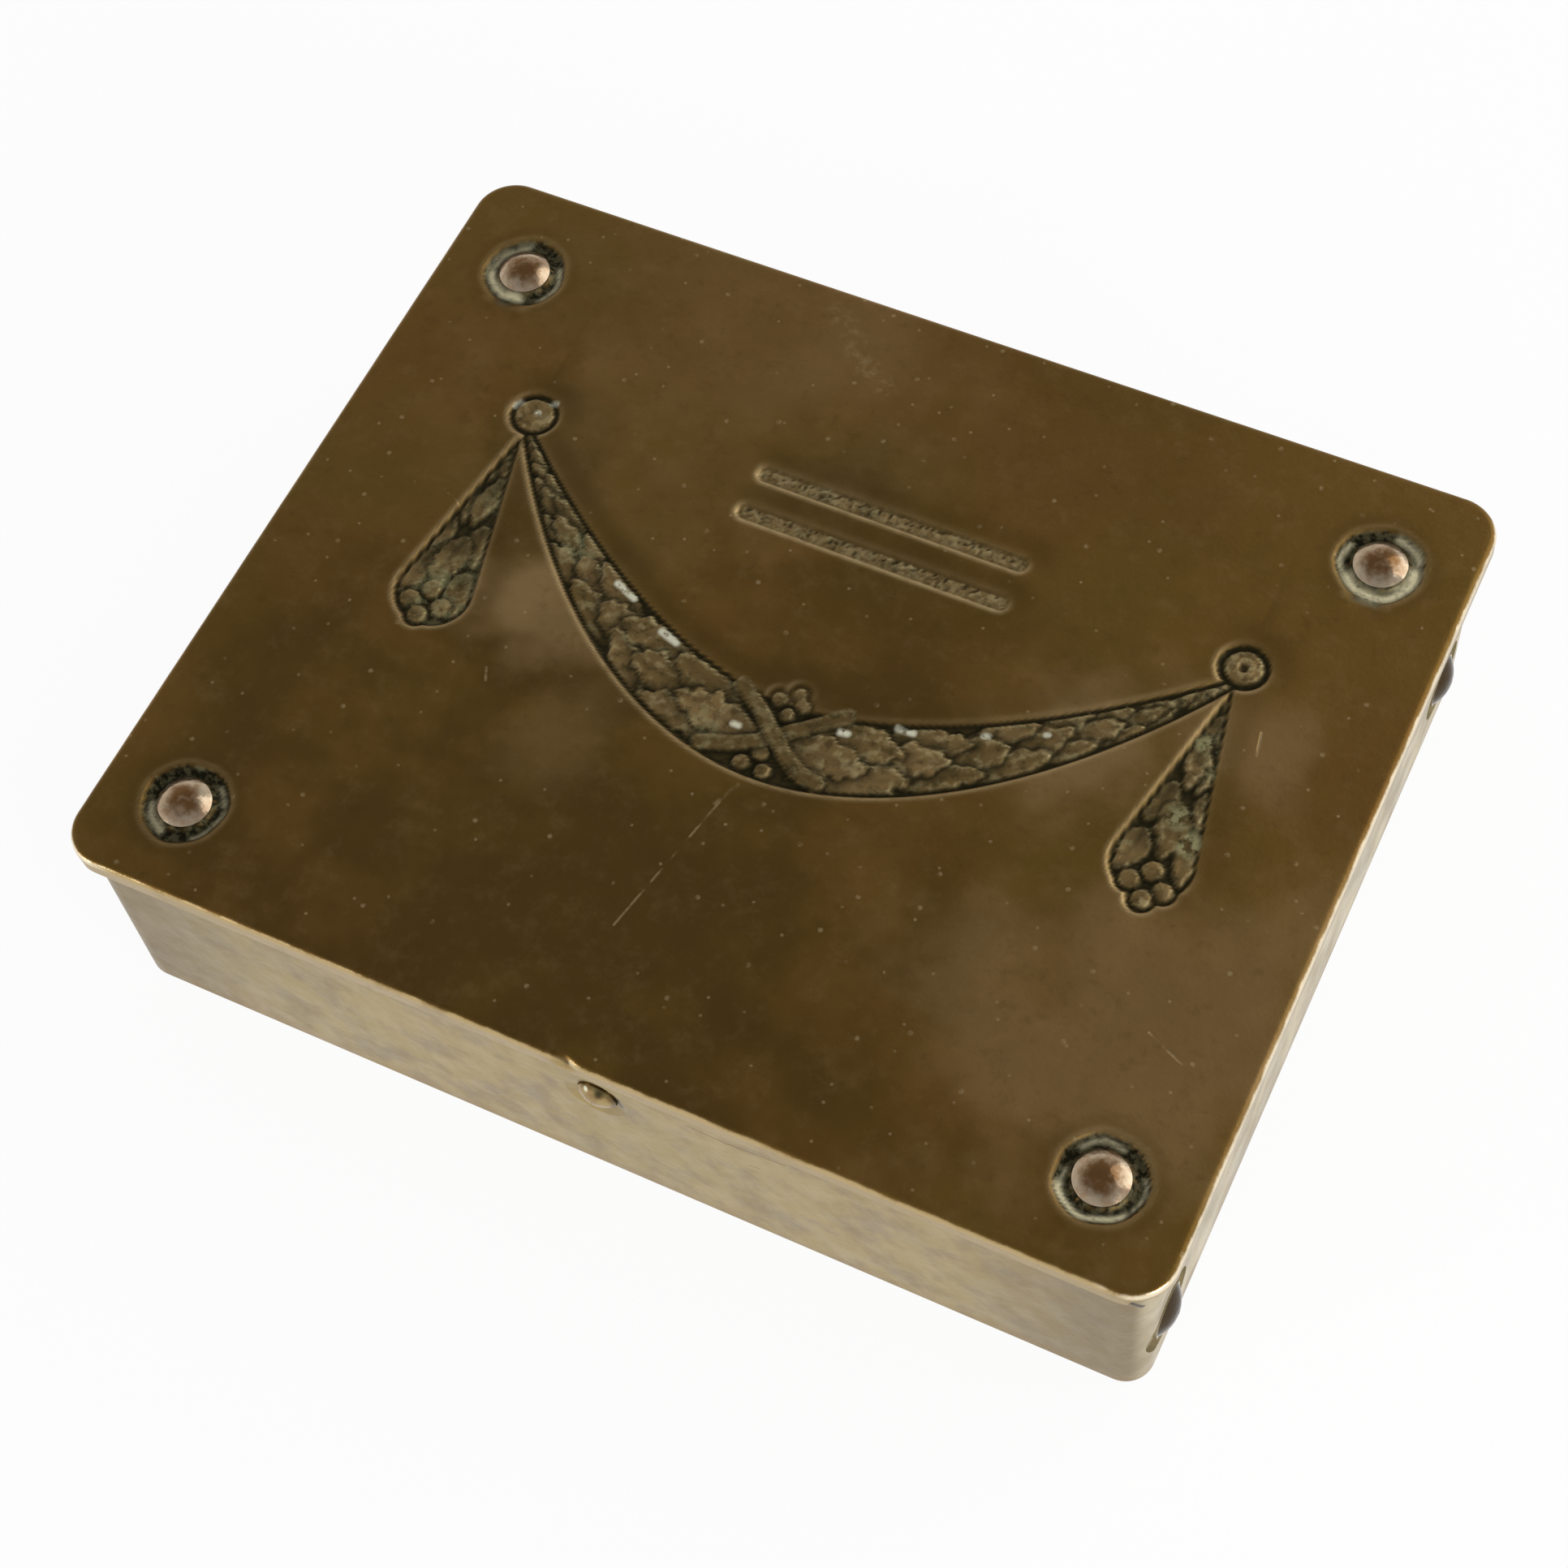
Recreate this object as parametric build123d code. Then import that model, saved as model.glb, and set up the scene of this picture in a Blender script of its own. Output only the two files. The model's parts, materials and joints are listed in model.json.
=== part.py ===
from build123d import *
import math
import os

os.makedirs("parts", exist_ok=True)

# A hinged sheet brass stamp box. Millimetres, +Z up, front towards -Y.
# The origin is on the table, at the centre of the box.

# Overall size
LID_WIDTH = 100.0
LID_DEPTH = 79.2
BOX_HEIGHT = 24.0

# Lid: a flat sheet with a short turned-down rim
LID_SHEET = 1.0
LID_RIM_DROP = 2.0
LID_RIM_SHEET = 0.8
LID_CORNER_RADIUS = 3.8
LID_EDGE_ROUND = 0.6
LID_OVERHANG = 1.2
LID_SEAT_GAP = 0.1

# Body: a bent wall band round a base sheet
WALL_SHEET = 1.0
WALL_CORNER_RADIUS = 2.6
WALL_FOOT_ROUND = 0.6
BASE_SHEET = 1.2

# Stamp compartments: one long and two cross dividers, with sloping floors
DIVIDER_SHEET = 0.8
DIVIDER_TOP_GAP = 1.5
DIVIDER_SPACING = 32.2
LAP_CLEARANCE = 0.05
END_CLEARANCE = 0.1
RAMP_SHEET = 0.5
RAMP_RISE = 7.8
RAMP_HOLLOW = 2.0

# Butt hinge under the rear overhang
HINGE_LENGTH = 30.0
HINGE_KNUCKLES = 5
KNUCKLE_RADIUS = 1.0
KNUCKLE_GAP = 0.2
HINGE_LID_GAP = 0.4
PIN_RADIUS = 0.5
PIN_CLEARANCE = 0.05
PIN_HEAD_LIP = 0.25
PIN_HEAD_LENGTH = 0.2
LEAF_SHEET = 0.6
LEAF_REACH = 8.0
LEAF_CLEARANCE = 0.3
HINGE_END_CLEARANCE = 0.4

# Domed studs, each in a stamped ring well
STUD_INSET_X = 8.2
LID_STUD_FRONT_INSET = 8.2
LID_STUD_REAR_INSET = 9.5
SIDE_STUD_FRONT_INSET = 6.2
SIDE_STUD_REAR_INSET = 8.1
STUD_DOME_RADIUS = 2.35
STUD_DOME_HEIGHT = 0.9
STUD_SHANK_RADIUS = 0.7
STUD_SHANK_CLEARANCE = 0.05
STUD_CLINCH_LIP = 0.6
STUD_CLINCH_HEIGHT = 0.4
WELL_LAND_LIP = 0.15
WELL_WIDTH = 1.3
WELL_DEPTH = 0.55
SIDE_STUD_DROP = 16.6

# Push button catch in the middle of the front wall
BUTTON_DROP = 8.5
BUTTON_RADIUS = 1.8
BUTTON_CLEARANCE = 0.06
BUTTON_CYLINDER_SINK = 0.1
BUTTON_DOME_HEIGHT = 0.7
BUTTON_TRAVEL = 1.0
BUTTON_COLLAR_LIP = 0.9
BUTTON_COLLAR_SHEET = 0.6
BUTTON_COLLAR_GAP = 0.1
DISH_BORDER = 1.1
DISH_DEPTH = 0.5
BUSH_WALL = 1.1
BUSH_LENGTH = 1.0
TAIL_RADIUS = 0.8
TAIL_CLEARANCE = 0.05
TAIL_END = 0.5
LATCH_WIDTH = 6.0
LATCH_SHEET = 0.8
LATCH_FOOT = 2.5
LATCH_NOSE_RADIUS = 0.7
LATCH_TOP_MARGIN = 0.4
BRACKET_SHEET = 0.6
BRACKET_HEIGHT = 6.0
BRACKET_SIDE_CLEARANCE = 1.4
BRACKET_FLANGE = 2.6
SPRING_WIRE_RADIUS = 0.2
SPRING_TURNS = 3.5
SPRING_RESERVE = 1.3
SPRING_TAIL_CLEARANCE = 0.45
SPRING_SEAT_GAP = 0.1

# Keeper tongue under the lid
KEEPER_SHEET = 0.7
KEEPER_WIDTH = 5.0
KEEPER_FOOT = 6.0
KEEPER_WALL_GAP = 0.4
KEEPER_NOSE_GAP = 0.1
KEEPER_HOLE_CLEARANCE = 0.15
KEEPER_HOLE_MARGIN = 1.4
KEEPER_BUSH_GAP = 0.4

# Stamped ornament on the lid
RELIEF_DEPTH = 0.45
RELIEF_LEAF_SINK = 0.08
ORNAMENT_SHIFT_X = 0.8
ROSETTE_HALF_SPACING = 34.1
ROSETTE_Y = 16.0
ROSETTE_RADIUS = 2.2
ROSETTE_BUTTON_RADIUS = 1.5
ROSETTE_PIT_RADIUS = 0.45
SWAG_HALF_SPAN = 33.4
SWAG_END_Y = 13.7
SWAG_LOW_Y = -6.3
SWAG_CURVE_POWER = 1.85
SWAG_TIP_HALF_WIDTH = 0.3
SWAG_MIDDLE_HALF_WIDTH = 3.8
SWAG_EDGE_POINTS = 11
SWAG_LEAF_START = 0.17
SWAG_LEAF_END = 0.94
LEAF_BASE_LENGTH = 1.05
LEAF_LENGTH_RATE = 1.7
LEAF_WIDTH_SHARE = 0.62
LEAF_SIDE_OFFSET = 0.58
RIBBON_WIDTH = 1.6
RIBBON_LENGTH = 10.4
RIBBON_ANGLE = 35.0
BERRY_RADIUS = 0.85
KNOT_BERRY_SPREAD = 1.0
KNOT_BERRY_RISE = 2.9
KNOT_INNER_BERRY_RISE = 1.5
DROP_CENTRE_Y = -5.3
DROP_RADIUS = 3.6
DROP_APEX_Y = 13.4
DROP_LEAF_ROWS = 4
DROP_LEAF_BASE_LENGTH = 1.4
DROP_LEAF_LENGTH_RATE = 1.2
DROP_LEAF_SPLAY = 12.0
DROP_BERRY_SPREAD = 1.3
BAR_LENGTH = 25.8
BAR_WIDTH = 1.5
BAR_SHIFT_X = 0.4
BAR_Y = 16.1
BAR_SPACING = 4.3
BAR_DEPTH = 0.4

# Places that follow from the sizes
LID_UNDERSIDE = BOX_HEIGHT - LID_SHEET
RIM_BOTTOM = BOX_HEIGHT - LID_RIM_DROP
WALL_TOP = LID_UNDERSIDE - LID_SEAT_GAP
BODY_WIDTH = LID_WIDTH - 2 * LID_OVERHANG
BODY_DEPTH = LID_DEPTH - 2 * LID_OVERHANG
WALL_X = BODY_WIDTH / 2
WALL_Y = BODY_DEPTH / 2
INNER_X = WALL_X - WALL_SHEET
INNER_Y = WALL_Y - WALL_SHEET
INNER_CORNER_RADIUS = WALL_CORNER_RADIUS - WALL_SHEET
STUD_X = LID_WIDTH / 2 - STUD_INSET_X
LID_STUD_ROWS = {
    "front": LID_STUD_FRONT_INSET - LID_DEPTH / 2,
    "rear": LID_DEPTH / 2 - LID_STUD_REAR_INSET,
}
SIDE_STUD_ROWS = {
    "front": SIDE_STUD_FRONT_INSET - LID_DEPTH / 2,
    "rear": LID_DEPTH / 2 - SIDE_STUD_REAR_INSET,
}
SIDE_STUD_Z = BOX_HEIGHT - SIDE_STUD_DROP
HINGE_Y = WALL_Y
HINGE_Z = LID_UNDERSIDE - HINGE_LID_GAP - KNUCKLE_RADIUS
KNUCKLE_PITCH = HINGE_LENGTH / HINGE_KNUCKLES
BUTTON_Z = BOX_HEIGHT - BUTTON_DROP
DIVIDER_TOP = WALL_TOP - DIVIDER_TOP_GAP

# Button and spring sizes that follow from their mates
DISH_RADIUS = BUTTON_RADIUS + DISH_BORDER
BUSH_RADIUS = BUTTON_RADIUS + BUSH_WALL
SPRING_RADIUS = TAIL_RADIUS + SPRING_TAIL_CLEARANCE + SPRING_WIRE_RADIUS
SPRING_LENGTH = 2 * SPRING_WIRE_RADIUS * SPRING_TURNS + BUTTON_TRAVEL + SPRING_RESERVE

# Stations of the catch, from the front wall inwards along +Y
BUSH_BACK = -INNER_Y + BUSH_LENGTH
COLLAR_FRONT = BUSH_BACK + BUTTON_COLLAR_GAP
COLLAR_BACK = COLLAR_FRONT + BUTTON_COLLAR_SHEET
LATCH_BACK = COLLAR_BACK + LATCH_SHEET
BRACKET_FRONT = LATCH_BACK + SPRING_LENGTH + 2 * SPRING_SEAT_GAP
BRACKET_BACK = BRACKET_FRONT + BRACKET_SHEET
KEEPER_FRONT = -INNER_Y + KEEPER_WALL_GAP
KEEPER_BACK = KEEPER_FRONT + KEEPER_SHEET
NOSE_Z = BUTTON_Z + BUSH_RADIUS + KEEPER_BUSH_GAP + KEEPER_HOLE_MARGIN
NOSE_TIP = KEEPER_BACK + KEEPER_NOSE_GAP


def block(x_low, x_high, y_low, y_high, z_low, z_high):
    size = (x_high - x_low, y_high - y_low, z_high - z_low)
    middle = ((x_low + x_high) / 2, (y_low + y_high) / 2, (z_low + z_high) / 2)
    return Pos(*middle) * Box(*size)


def prism(face, z_low, z_high):
    return extrude(Pos(0, 0, z_low) * face, z_high - z_low)


def rounded_frame(width, depth, radius, z_low, z_high):
    return prism(RectangleRounded(width, depth, radius), z_low, z_high)


def rod(radius, start, direction, length):
    return extrude(Plane(origin=start, z_dir=direction) * Circle(radius), length)


def ring_well(start, direction):
    """A stamped ring groove, cut inwards from a sheet's outer face."""
    land_radius = STUD_DOME_RADIUS + WELL_LAND_LIP
    face = Circle(land_radius + WELL_WIDTH) - Circle(land_radius)
    return extrude(Plane(origin=start, z_dir=direction) * face, -WELL_DEPTH)


def dome(base_radius, height, start, direction):
    """A low spherical cap that stands on a plane."""
    sphere_radius = (base_radius**2 + height**2) / (2 * height)
    cap_profile = make_face(
        [
            Line((0, 0), (base_radius, 0)),
            RadiusArc((base_radius, 0), (0, height), -sphere_radius),
            Line((0, height), (0, 0)),
        ]
    )
    cap = revolve(Plane.XZ * cap_profile, Axis.Z)
    return Plane(origin=start, z_dir=direction) * cap


def lens(length, width):
    """A leaf outline between two arcs, pointing along +X from its middle."""
    half = length / 2
    upper = ThreePointArc((-half, 0), (0, width / 2), (half, 0))
    lower = ThreePointArc((half, 0), (0, -width / 2), (-half, 0))
    return make_face([upper, lower])


def swag_point(along):
    """Centre of the swag, from -1 at the left rosette to 1 at the right one."""
    x = along * SWAG_HALF_SPAN
    y = SWAG_LOW_Y + (SWAG_END_Y - SWAG_LOW_Y) * abs(along) ** SWAG_CURVE_POWER
    return Vector(x, y)


def swag_direction(along):
    step = 0.001
    return (swag_point(along + step) - swag_point(along - step)).normalized()


def swag_half_width(along):
    swell = SWAG_MIDDLE_HALF_WIDTH - SWAG_TIP_HALF_WIDTH
    return SWAG_TIP_HALF_WIDTH + swell * (1 - along**2)


def swag_side_point(along, side):
    across = swag_direction(along).rotate(Axis.Z, 90)
    return swag_point(along) + across * (side * swag_half_width(along))


def swag_outline():
    stations = [2 * i / (SWAG_EDGE_POINTS - 1) - 1 for i in range(SWAG_EDGE_POINTS)]
    upper = [swag_side_point(along, 1) for along in stations]
    lower = [swag_side_point(along, -1) for along in stations]
    edges = [
        Spline(*upper),
        Line(upper[-1], lower[-1]),
        Spline(*lower[::-1]),
        Line(lower[0], upper[0]),
    ]
    return make_face(edges)


def swag_leaves():
    """Rows of leaves whose tips point outwards from the ribbon, sized by the swag's width."""
    leaves = []
    for side in (-1, 1):
        along = SWAG_LEAF_START
        middle_row = True
        while along < SWAG_LEAF_END:
            half_width = swag_half_width(along)
            leaf_length = LEAF_BASE_LENGTH + LEAF_LENGTH_RATE * half_width
            direction = swag_direction(side * along)
            turn = math.degrees(math.atan2(direction.Y, direction.X))
            offsets = (0.0,) if middle_row else (-LEAF_SIDE_OFFSET, LEAF_SIDE_OFFSET)
            for offset in offsets:
                across = direction.rotate(Axis.Z, 90)
                place = swag_point(side * along) + across * (offset * half_width)
                leaf = lens(leaf_length, LEAF_WIDTH_SHARE * half_width)
                leaves.append(Pos(place.X, place.Y) * Rot(0, 0, turn) * leaf)
            along += leaf_length / 2 / SWAG_HALF_SPAN * direction.X
            middle_row = not middle_row
    return leaves


def ribbon_knot():
    """Two crossed ribbons with berries above and below the crossing."""
    centre = swag_point(0)
    pieces = []
    for turn in (-RIBBON_ANGLE, RIBBON_ANGLE):
        ribbon = Rectangle(RIBBON_LENGTH, RIBBON_WIDTH)
        pieces.append(Pos(centre.X, centre.Y) * Rot(0, 0, turn) * ribbon)
    for side in (-1, 1):
        pieces.append(Pos(centre.X, centre.Y + side * KNOT_INNER_BERRY_RISE) * Circle(BERRY_RADIUS))
        for end in (-1, 1):
            place = Pos(centre.X + end * KNOT_BERRY_SPREAD, centre.Y + side * KNOT_BERRY_RISE)
            pieces.append(place * Circle(BERRY_RADIUS))
    return pieces


def drop_outline():
    """A hanging drop: a circle and its two tangents from the apex."""
    reach = DROP_APEX_Y - DROP_CENTRE_Y
    half_angle = math.asin(DROP_RADIUS / reach)
    touch_x = DROP_RADIUS * math.cos(half_angle)
    touch_y = DROP_CENTRE_Y + DROP_RADIUS * math.sin(half_angle)
    bottom = (0, DROP_CENTRE_Y - DROP_RADIUS)
    edges = [
        Line((0, DROP_APEX_Y), (touch_x, touch_y)),
        ThreePointArc((touch_x, touch_y), bottom, (-touch_x, touch_y)),
        Line((-touch_x, touch_y), (0, DROP_APEX_Y)),
    ]
    return make_face(edges)


def drop_pads():
    """Leaves that point down the drop, and the berries at its foot."""
    pads = []
    reach = DROP_APEX_Y - DROP_CENTRE_Y
    for row in range(DROP_LEAF_ROWS):
        fall = reach * (row + 1) / DROP_LEAF_ROWS
        half_width = fall * DROP_RADIUS / reach
        leaf_length = DROP_LEAF_BASE_LENGTH + DROP_LEAF_LENGTH_RATE * half_width
        leaf = lens(leaf_length, LEAF_WIDTH_SHARE * half_width)
        row_y = DROP_APEX_Y - fall + leaf_length / 2
        pads.append(Pos(0, row_y + leaf_length / 2) * Rot(0, 0, 90) * leaf)
        for side in (-1, 1):
            turn = 90 - side * DROP_LEAF_SPLAY
            pads.append(Pos(side * LEAF_SIDE_OFFSET * half_width, row_y) * Rot(0, 0, turn) * leaf)
    for turn in range(0, 360, 90):
        berry_x = DROP_BERRY_SPREAD * math.cos(math.radians(turn))
        berry_y = DROP_BERRY_SPREAD * math.sin(math.radians(turn))
        pads.append(Pos(berry_x, DROP_CENTRE_Y - DROP_BERRY_SPREAD + berry_y) * Circle(BERRY_RADIUS))
    return pads


def raised(outline, pads):
    """The part of the pads that lies inside an outline."""
    together = pads[0]
    for pad in pads[1:]:
        together = together + pad
    return together & outline


def cut_relief(lid, outline, pads):
    """Sink the outline into the lid, with the pads standing almost flush."""
    standing = raised(outline, pads)
    floor = outline - standing
    lid = lid - prism(floor, BOX_HEIGHT - RELIEF_DEPTH, BOX_HEIGHT)
    return lid - prism(standing, BOX_HEIGHT - RELIEF_LEAF_SINK, BOX_HEIGHT)


def stud(face_point, direction, sheet):
    """A domed stud whose shank passes through a sheet and is clinched behind it."""
    start = Vector(*face_point)
    outwards = Vector(*direction)
    shank_length = sheet + STUD_CLINCH_HEIGHT
    body = dome(STUD_DOME_RADIUS, STUD_DOME_HEIGHT, start, outwards)
    body = body + rod(STUD_SHANK_RADIUS, start - outwards * shank_length, outwards, shank_length)
    clinch_start = start - outwards * shank_length
    return body + rod(STUD_SHANK_RADIUS + STUD_CLINCH_LIP, clinch_start, outwards, STUD_CLINCH_HEIGHT)


def stud_hole(face_point, direction, sheet):
    start = Vector(*face_point) - Vector(*direction) * sheet
    return rod(STUD_SHANK_RADIUS + STUD_SHANK_CLEARANCE, start, direction, sheet)


def lid_stud_places():
    places = {}
    for side_name, side in (("left", -1), ("right", 1)):
        for end_name, y in LID_STUD_ROWS.items():
            places[f"lid_stud_{end_name}_{side_name}"] = (side * STUD_X, y, BOX_HEIGHT)
    return places


def side_stud_places():
    places = {}
    for side_name, side in (("left", -1), ("right", 1)):
        for end_name, y in SIDE_STUD_ROWS.items():
            places[f"side_stud_{side_name}_{end_name}"] = (side * WALL_X, y, SIDE_STUD_Z)
    return places


def make_lid():
    lid = rounded_frame(LID_WIDTH, LID_DEPTH, LID_CORNER_RADIUS, RIM_BOTTOM, BOX_HEIGHT)
    top_edges = lid.faces().sort_by(Axis.Z)[-1].edges()
    lid = fillet(top_edges, LID_EDGE_ROUND)
    lid = lid - rounded_frame(
        LID_WIDTH - 2 * LID_RIM_SHEET,
        LID_DEPTH - 2 * LID_RIM_SHEET,
        LID_CORNER_RADIUS - LID_RIM_SHEET,
        RIM_BOTTOM,
        LID_UNDERSIDE,
    )
    hinge_half = HINGE_LENGTH / 2 + HINGE_END_CLEARANCE
    lid = lid - block(-hinge_half, hinge_half, HINGE_Y, LID_DEPTH / 2, RIM_BOTTOM, LID_UNDERSIDE)
    for place in lid_stud_places().values():
        lid = lid - ring_well(place, (0, 0, 1))
        lid = lid - stud_hole(place, (0, 0, 1), LID_SHEET)

    shift = Pos(ORNAMENT_SHIFT_X, 0)
    pads = [shift * pad for pad in swag_leaves() + ribbon_knot()]
    lid = cut_relief(lid, shift * swag_outline(), pads)
    for side in (-1, 1):
        across = Pos(ORNAMENT_SHIFT_X + side * ROSETTE_HALF_SPACING, 0)
        lid = cut_relief(lid, across * drop_outline(), [across * pad for pad in drop_pads()])
        ring = Circle(ROSETTE_RADIUS) - Circle(ROSETTE_BUTTON_RADIUS) + Circle(ROSETTE_PIT_RADIUS)
        rosette = across * Pos(0, ROSETTE_Y) * ring
        lid = lid - prism(rosette, BOX_HEIGHT - RELIEF_DEPTH, BOX_HEIGHT)
        bar = SlotOverall(BAR_LENGTH, BAR_WIDTH)
        bar = Pos(ORNAMENT_SHIFT_X + BAR_SHIFT_X, BAR_Y + side * BAR_SPACING / 2) * bar
        lid = lid - prism(bar, BOX_HEIGHT - BAR_DEPTH, BOX_HEIGHT)
    return lid


def make_walls():
    walls = rounded_frame(BODY_WIDTH, BODY_DEPTH, WALL_CORNER_RADIUS, 0, WALL_TOP)
    foot_edges = walls.faces().sort_by(Axis.Z)[0].edges()
    walls = fillet(foot_edges, WALL_FOOT_ROUND)
    walls = walls - rounded_frame(2 * INNER_X, 2 * INNER_Y, INNER_CORNER_RADIUS, 0, WALL_TOP)

    notch_half = HINGE_LENGTH / 2 + HINGE_END_CLEARANCE
    notch_bottom = HINGE_Z - KNUCKLE_RADIUS - LEAF_CLEARANCE
    walls = walls - block(-notch_half, notch_half, INNER_Y, WALL_Y, notch_bottom, WALL_TOP)

    for place in side_stud_places().values():
        outwards = (math.copysign(1, place[0]), 0, 0)
        walls = walls - ring_well(place, outwards)
        walls = walls - stud_hole(place, outwards, WALL_SHEET)

    dish_sphere = (DISH_RADIUS**2 + DISH_DEPTH**2) / (2 * DISH_DEPTH)
    dish_centre = -WALL_Y + DISH_DEPTH - dish_sphere
    walls = walls - Pos(0, dish_centre, BUTTON_Z) * Sphere(dish_sphere)
    bore = rod(BUTTON_RADIUS + BUTTON_CLEARANCE, (0, -WALL_Y, BUTTON_Z), (0, 1, 0), WALL_SHEET)
    return walls - bore


def make_base():
    return rounded_frame(2 * INNER_X, 2 * INNER_Y, INNER_CORNER_RADIUS, 0, BASE_SHEET)


def knuckle_span(index):
    start = -HINGE_LENGTH / 2 + index * KNUCKLE_PITCH
    return start + KNUCKLE_GAP / 2, start + KNUCKLE_PITCH - KNUCKLE_GAP / 2


def bore_knuckles(leaf):
    length = HINGE_LENGTH + 2 * PIN_HEAD_LENGTH
    start = (-length / 2, HINGE_Y, HINGE_Z)
    return leaf - rod(PIN_RADIUS + PIN_CLEARANCE, start, (1, 0, 0), length)


def make_body_leaf():
    """Hinge leaf on the inner face of the rear wall, with the odd knuckles."""
    low = HINGE_Z - LEAF_REACH
    top = HINGE_Z - KNUCKLE_RADIUS - LEAF_CLEARANCE
    half = HINGE_LENGTH / 2 - KNUCKLE_GAP / 2
    inner_face = INNER_Y - LEAF_SHEET
    leaf = block(-half, half, inner_face, INNER_Y, low, top)
    for index in range(0, HINGE_KNUCKLES, 2):
        start, end = knuckle_span(index)
        leaf = leaf + block(start, end, inner_face, INNER_Y, top, HINGE_Z)
        leaf = leaf + block(start, end, INNER_Y, HINGE_Y, HINGE_Z - KNUCKLE_RADIUS, HINGE_Z)
        leaf = leaf + rod(KNUCKLE_RADIUS, (start, HINGE_Y, HINGE_Z), (1, 0, 0), end - start)
    return bore_knuckles(leaf)


def make_lid_leaf():
    """Hinge leaf under the lid, with the even knuckles."""
    half = HINGE_LENGTH / 2 - KNUCKLE_GAP / 2
    back = HINGE_Y - KNUCKLE_RADIUS - LEAF_CLEARANCE
    under = LID_UNDERSIDE - LEAF_SHEET
    leaf = block(-half, half, HINGE_Y - LEAF_REACH, back, under, LID_UNDERSIDE)
    for index in range(1, HINGE_KNUCKLES, 2):
        start, end = knuckle_span(index)
        leaf = leaf + block(start, end, back, HINGE_Y, under, LID_UNDERSIDE)
        leaf = leaf + block(start, end, HINGE_Y - KNUCKLE_RADIUS, HINGE_Y, HINGE_Z, under)
        leaf = leaf + rod(KNUCKLE_RADIUS, (start, HINGE_Y, HINGE_Z), (1, 0, 0), end - start)
    return bore_knuckles(leaf)


def make_hinge_pin():
    start = (-HINGE_LENGTH / 2, HINGE_Y, HINGE_Z)
    pin = rod(PIN_RADIUS, start, (1, 0, 0), HINGE_LENGTH)
    for side in (-1, 1):
        head_start = (side * HINGE_LENGTH / 2, HINGE_Y, HINGE_Z)
        pin = pin + rod(PIN_RADIUS + PIN_HEAD_LIP, head_start, (side, 0, 0), PIN_HEAD_LENGTH)
    return pin


def make_button():
    """Domed plunger with a collar behind the bush and a thin guide tail."""
    dome_base = -WALL_Y + BUTTON_CYLINDER_SINK
    button = dome(BUTTON_RADIUS, BUTTON_DOME_HEIGHT, (0, dome_base, BUTTON_Z), (0, -1, 0))
    centre = (0, dome_base, BUTTON_Z)
    button = button + rod(BUTTON_RADIUS, centre, (0, 1, 0), COLLAR_FRONT - dome_base)
    collar_start = (0, COLLAR_FRONT, BUTTON_Z)
    collar_radius = BUTTON_RADIUS + BUTTON_COLLAR_LIP
    button = button + rod(collar_radius, collar_start, (0, 1, 0), BUTTON_COLLAR_SHEET)
    tail_start = (0, COLLAR_BACK, BUTTON_Z)
    tail_length = BRACKET_BACK + TAIL_END - COLLAR_BACK
    return button + rod(TAIL_RADIUS, tail_start, (0, 1, 0), tail_length)


def make_latch():
    """Plate behind the button's collar, with a round-tipped nose for the keeper."""
    half = LATCH_WIDTH / 2
    top = NOSE_Z + LATCH_NOSE_RADIUS + LATCH_TOP_MARGIN
    plate = block(-half, half, COLLAR_BACK, LATCH_BACK, BUTTON_Z - LATCH_FOOT, top)
    plate = plate - rod(TAIL_RADIUS, (0, COLLAR_BACK, BUTTON_Z), (0, 1, 0), LATCH_SHEET)
    nose_dome = LATCH_NOSE_RADIUS / 2
    nose_base = NOSE_TIP + nose_dome
    plate = plate + rod(LATCH_NOSE_RADIUS, (0, COLLAR_BACK, NOSE_Z), (0, -1, 0), COLLAR_BACK - nose_base)
    return plate + dome(LATCH_NOSE_RADIUS, nose_dome, (0, nose_base, NOSE_Z), (0, -1, 0))


def make_bush():
    start = (0, -INNER_Y, BUTTON_Z)
    bush = rod(BUSH_RADIUS, start, (0, 1, 0), BUSH_LENGTH)
    return bush - rod(BUTTON_RADIUS + BUTTON_CLEARANCE, start, (0, 1, 0), BUSH_LENGTH)


def make_bracket():
    """Bent strap soldered behind the front wall, which guides the button's tail."""
    low = BUTTON_Z - BRACKET_HEIGHT / 2
    high = BUTTON_Z + BRACKET_HEIGHT / 2
    inner = LATCH_WIDTH / 2 + BRACKET_SIDE_CLEARANCE
    outer = inner + BRACKET_SHEET
    bracket = block(-outer, outer, BRACKET_FRONT, BRACKET_BACK, low, high)
    for side in (-1, 1):
        arm_x = sorted((side * inner, side * outer))
        flange_x = sorted((side * outer, side * (outer + BRACKET_FLANGE)))
        bracket = bracket + block(*arm_x, -INNER_Y, BRACKET_FRONT, low, high)
        bracket = bracket + block(*flange_x, -INNER_Y, -INNER_Y + BRACKET_SHEET, low, high)
    hole_start = (0, BRACKET_FRONT, BUTTON_Z)
    return bracket - rod(TAIL_RADIUS + TAIL_CLEARANCE, hole_start, (0, 1, 0), BRACKET_SHEET)


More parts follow.
